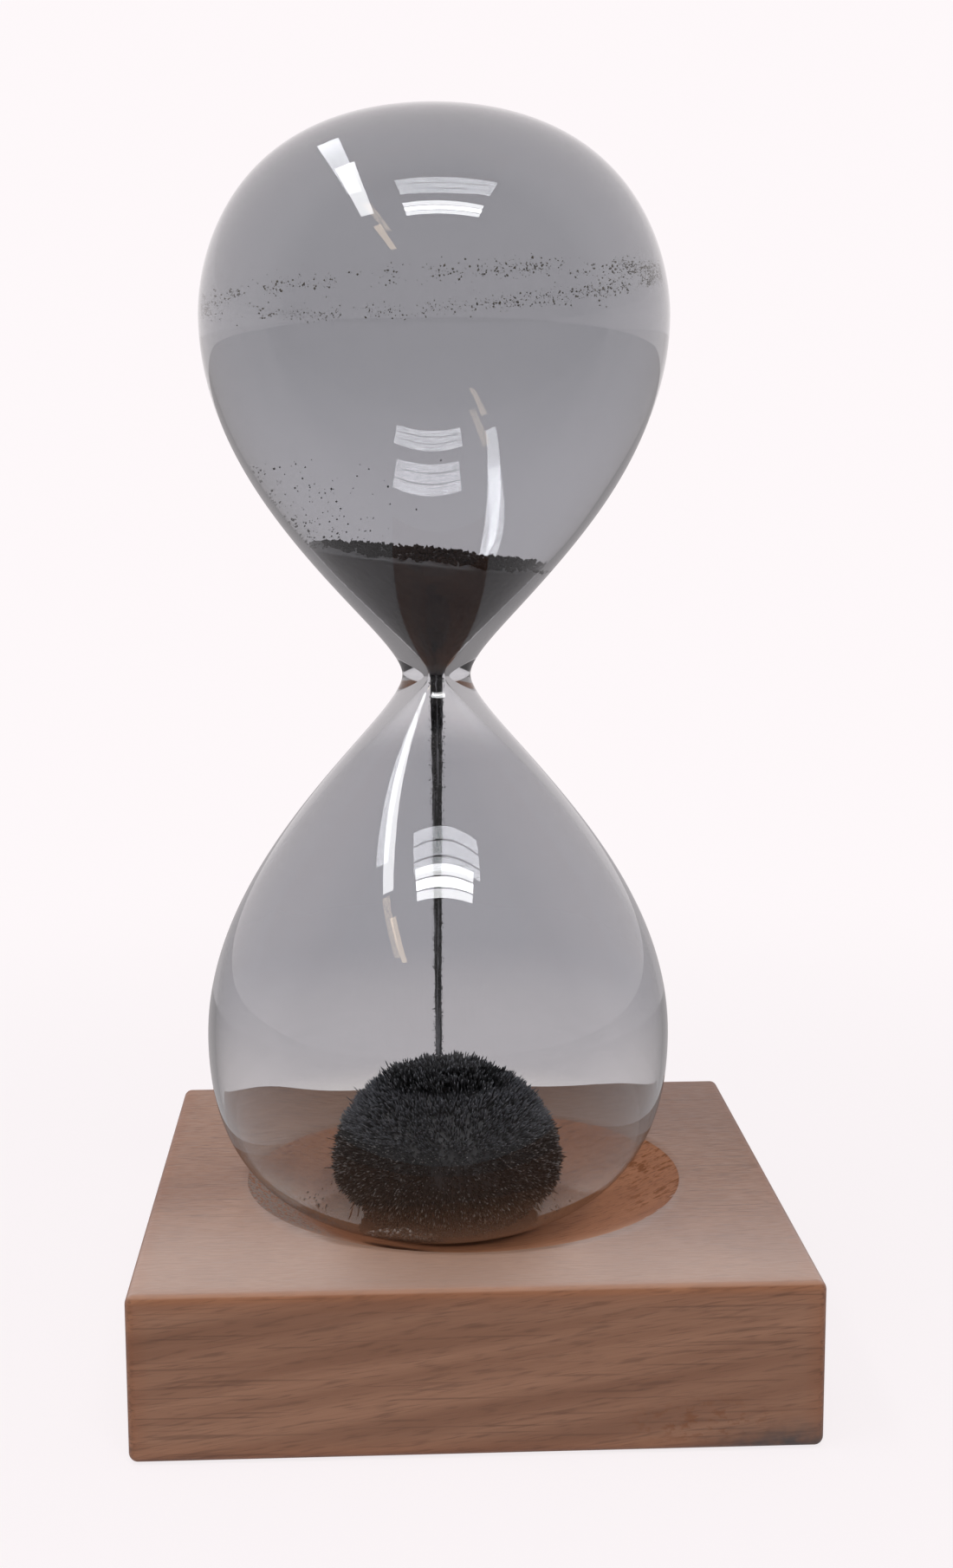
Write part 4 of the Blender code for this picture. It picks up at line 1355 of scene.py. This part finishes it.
def studio_world(stage):
    """World: the background for what is seen, and soft light.

    In gloss it is dimmer where it lies behind the camera, inside the glass, and on what is seen mirrored.
    """
    world = bpy.data.worlds.new("studio")
    world.use_nodes = True
    tree = world.node_tree
    shown = tree.nodes["Background"]
    shown.inputs["Color"].default_value = rgba(stage.background)
    path = node(tree, "LightPath").outputs
    toward = part_of(tree, node(tree, "TexCoord").outputs["Generated"], "Y")
    gloss = times(tree, path["Is Glossy Ray"], fade(tree, toward, -0.55, 0.15, stage.front_gloss, 1.0))
    inner = fade(tree, path["Transmission Depth"], 0.0, 1.0, 1.0, stage.inner_gloss)
    again = fade(tree, path["Glossy Depth"], 1.0, 2.0, 1.0, stage.mirrored_gloss)
    gloss = times(tree, times(tree, gloss, inner), again)
    seen = larger(tree, path["Is Transmission Ray"], gloss)
    seen = times(tree, seen, maths(tree, "LESS_THAN", path["Diffuse Depth"], 0.5))
    seen = larger(tree, seen, path["Is Camera Ray"])
    tree.links.new(larger(tree, seen, stage.ambient), shown.inputs["Strength"])
    bpy.context.scene.world = world


def matt_faces():
    """A collection that keeps the block out of the lamps' gloss."""
    spared = bpy.data.collections.new("matt_faces")
    spared.objects.link(bpy.data.objects["wood_block"])
    for member in spared.collection_objects:
        member.light_linking.link_state = "EXCLUDE"
    return spared


def hang(stage, plan, spared):
    """A flat lamp on the ceiling, facing down: its width along X and its depth along Y, turned about Z.

    It is two lamps, one just above the other. The upper one lights matt faces, with a lower share for what is
    itself seen mirrored. The lower one shows in gloss, on all but the spared pieces.
    """
    rise = stage.lamp_height
    wide, deep = plan.wide * rise, plan.deep * rise
    spot = Vector((GLASS_X, 0.0, NECK_Z)) + Vector((plan.x, plan.y, 1.0)) * rise
    turn = Matrix.Rotation(math.radians(plan.turn), 4, "Z")
    pair = {}
    for use, drop in (("matt", 0.0), ("gloss", LAMP_GAP)):
        data = bpy.data.lights.new(f"{plan.name}_{use}", "AREA")
        data.shape = "RECTANGLE"
        data.size, data.size_y = wide, deep
        data.energy = plan.share * stage.lamp_level * math.pi * wide * deep
        data.color = plan.tint
        made = pair[use] = bpy.data.objects.new(data.name, data)
        bpy.context.scene.collection.objects.link(made)
        made.matrix_world = Matrix.Translation(spot - Vector((0.0, 0.0, drop))) @ turn
        made.visible_camera = False
        made.visible_diffuse = use == "matt"
        made.visible_glossy = made.visible_transmission = use == "gloss"
    pair["gloss"].light_linking.receiver_collection = spared
    pair["matt"].data.use_nodes = True
    tree = pair["matt"].data.node_tree
    direct = minus(tree, 1.0, node(tree, "LightPath").outputs["Glossy Depth"])
    tree.links.new(larger(tree, direct, stage.mirrored_light), tree.nodes["Emission"].inputs["Strength"])


class HOURGLASS_OT_stage(bpy.types.Operator):
    """Set the floor, the world, the lamps and the camera, once the block is there"""

    bl_idname = "hourglass.stage"
    bl_label = "Stage"

    def execute(self, context):
        stage = context.scene.hourglass_stage
        sheet = bpy.data.meshes.new("pale_floor")
        corners = [(FLOOR_HALF * x, FLOOR_HALF * y, 0) for x, y in ((-1, -1), (1, -1), (1, 1), (-1, 1))]
        sheet.from_pydata(corners, [], [(0, 1, 2, 3)])
        sheet.materials.append(floor_finish(stage))
        ground = bpy.data.objects.new("pale_floor", sheet)
        context.scene.collection.objects.link(ground)
        ground.location.z = -FLOOR_DROP
        studio_world(stage)
        spared = matt_faces()
        for plan in LAMPS:
            hang(stage, plan, spared)
        self.camera(context, stage)
        context.scene.view_settings.view_transform = "Standard"
        return {"FINISHED"}

    def camera(self, context, stage):
        """Camera from its place, yaw, pitch and roll."""
        data = bpy.data.cameras.new("camera")
        data.sensor_width, data.lens = SENSOR_LENGTH, stage.lens
        data.clip_start = 0.01
        made = bpy.data.objects.new("camera", data)
        context.scene.collection.objects.link(made)
        ahead = Vector((
            math.sin(stage.yaw) * math.cos(stage.pitch), math.cos(stage.yaw) * math.cos(stage.pitch),
            -math.sin(stage.pitch)))
        right = Vector((math.cos(stage.yaw), -math.sin(stage.yaw), 0.0))
        over = right.cross(ahead)
        turn = Matrix((right, over, -ahead)).transposed().to_4x4() @ Matrix.Rotation(stage.roll, 4, "Z")
        made.matrix_world = Matrix.Translation(stage.camera_place) @ turn
        context.scene.camera = made


class HOURGLASS_PT_panel(bpy.types.Panel):
    """Lists the steps and the values that they read"""

    bl_idname = "HOURGLASS_PT_panel"
    bl_label = "Magnetic Hourglass"
    bl_space_type = "VIEW_3D"
    bl_region_type = "UI"
    bl_category = "Hourglass"

    def draw(self, context):
        column = self.layout.column()
        for step in STEPS:
            column.operator(step.bl_idname)
        for name, group in SETTINGS.items():
            box = self.layout.box()
            for value in group.__annotations__:
                box.prop(getattr(context.scene, name), value)


SETTINGS = {
    "hourglass_block": HOURGLASS_PG_block, "hourglass_glass": HOURGLASS_PG_glass,
    "hourglass_powder": HOURGLASS_PG_powder, "hourglass_stage": HOURGLASS_PG_stage}
STEPS = (
    HOURGLASS_OT_block, HOURGLASS_OT_pocket, HOURGLASS_OT_glass, HOURGLASS_OT_heap, HOURGLASS_OT_stream,
    HOURGLASS_OT_mound, HOURGLASS_OT_stage)


def register():
    """Register the classes and give the scene their values."""
    for item in (*SETTINGS.values(), *STEPS, HOURGLASS_PT_panel):
        bpy.utils.register_class(item)
    for name, group in SETTINGS.items():
        setattr(bpy.types.Scene, name, bpy.props.PointerProperty(type=group))


def unregister():
    """Take back what register() gave."""
    for name in SETTINGS:
        delattr(bpy.types.Scene, name)
    for item in reversed((*SETTINGS.values(), *STEPS, HOURGLASS_PT_panel)):
        bpy.utils.unregister_class(item)


def main():
    """Build the hourglass step by step."""
    register()
    bpy.ops.hourglass.block()
    bpy.ops.hourglass.pocket()
    bpy.ops.hourglass.glass()
    bpy.ops.hourglass.heap()
    bpy.ops.hourglass.stream()
    bpy.ops.hourglass.mound()
    bpy.ops.hourglass.stage()


if __name__ == "__main__":
    main()
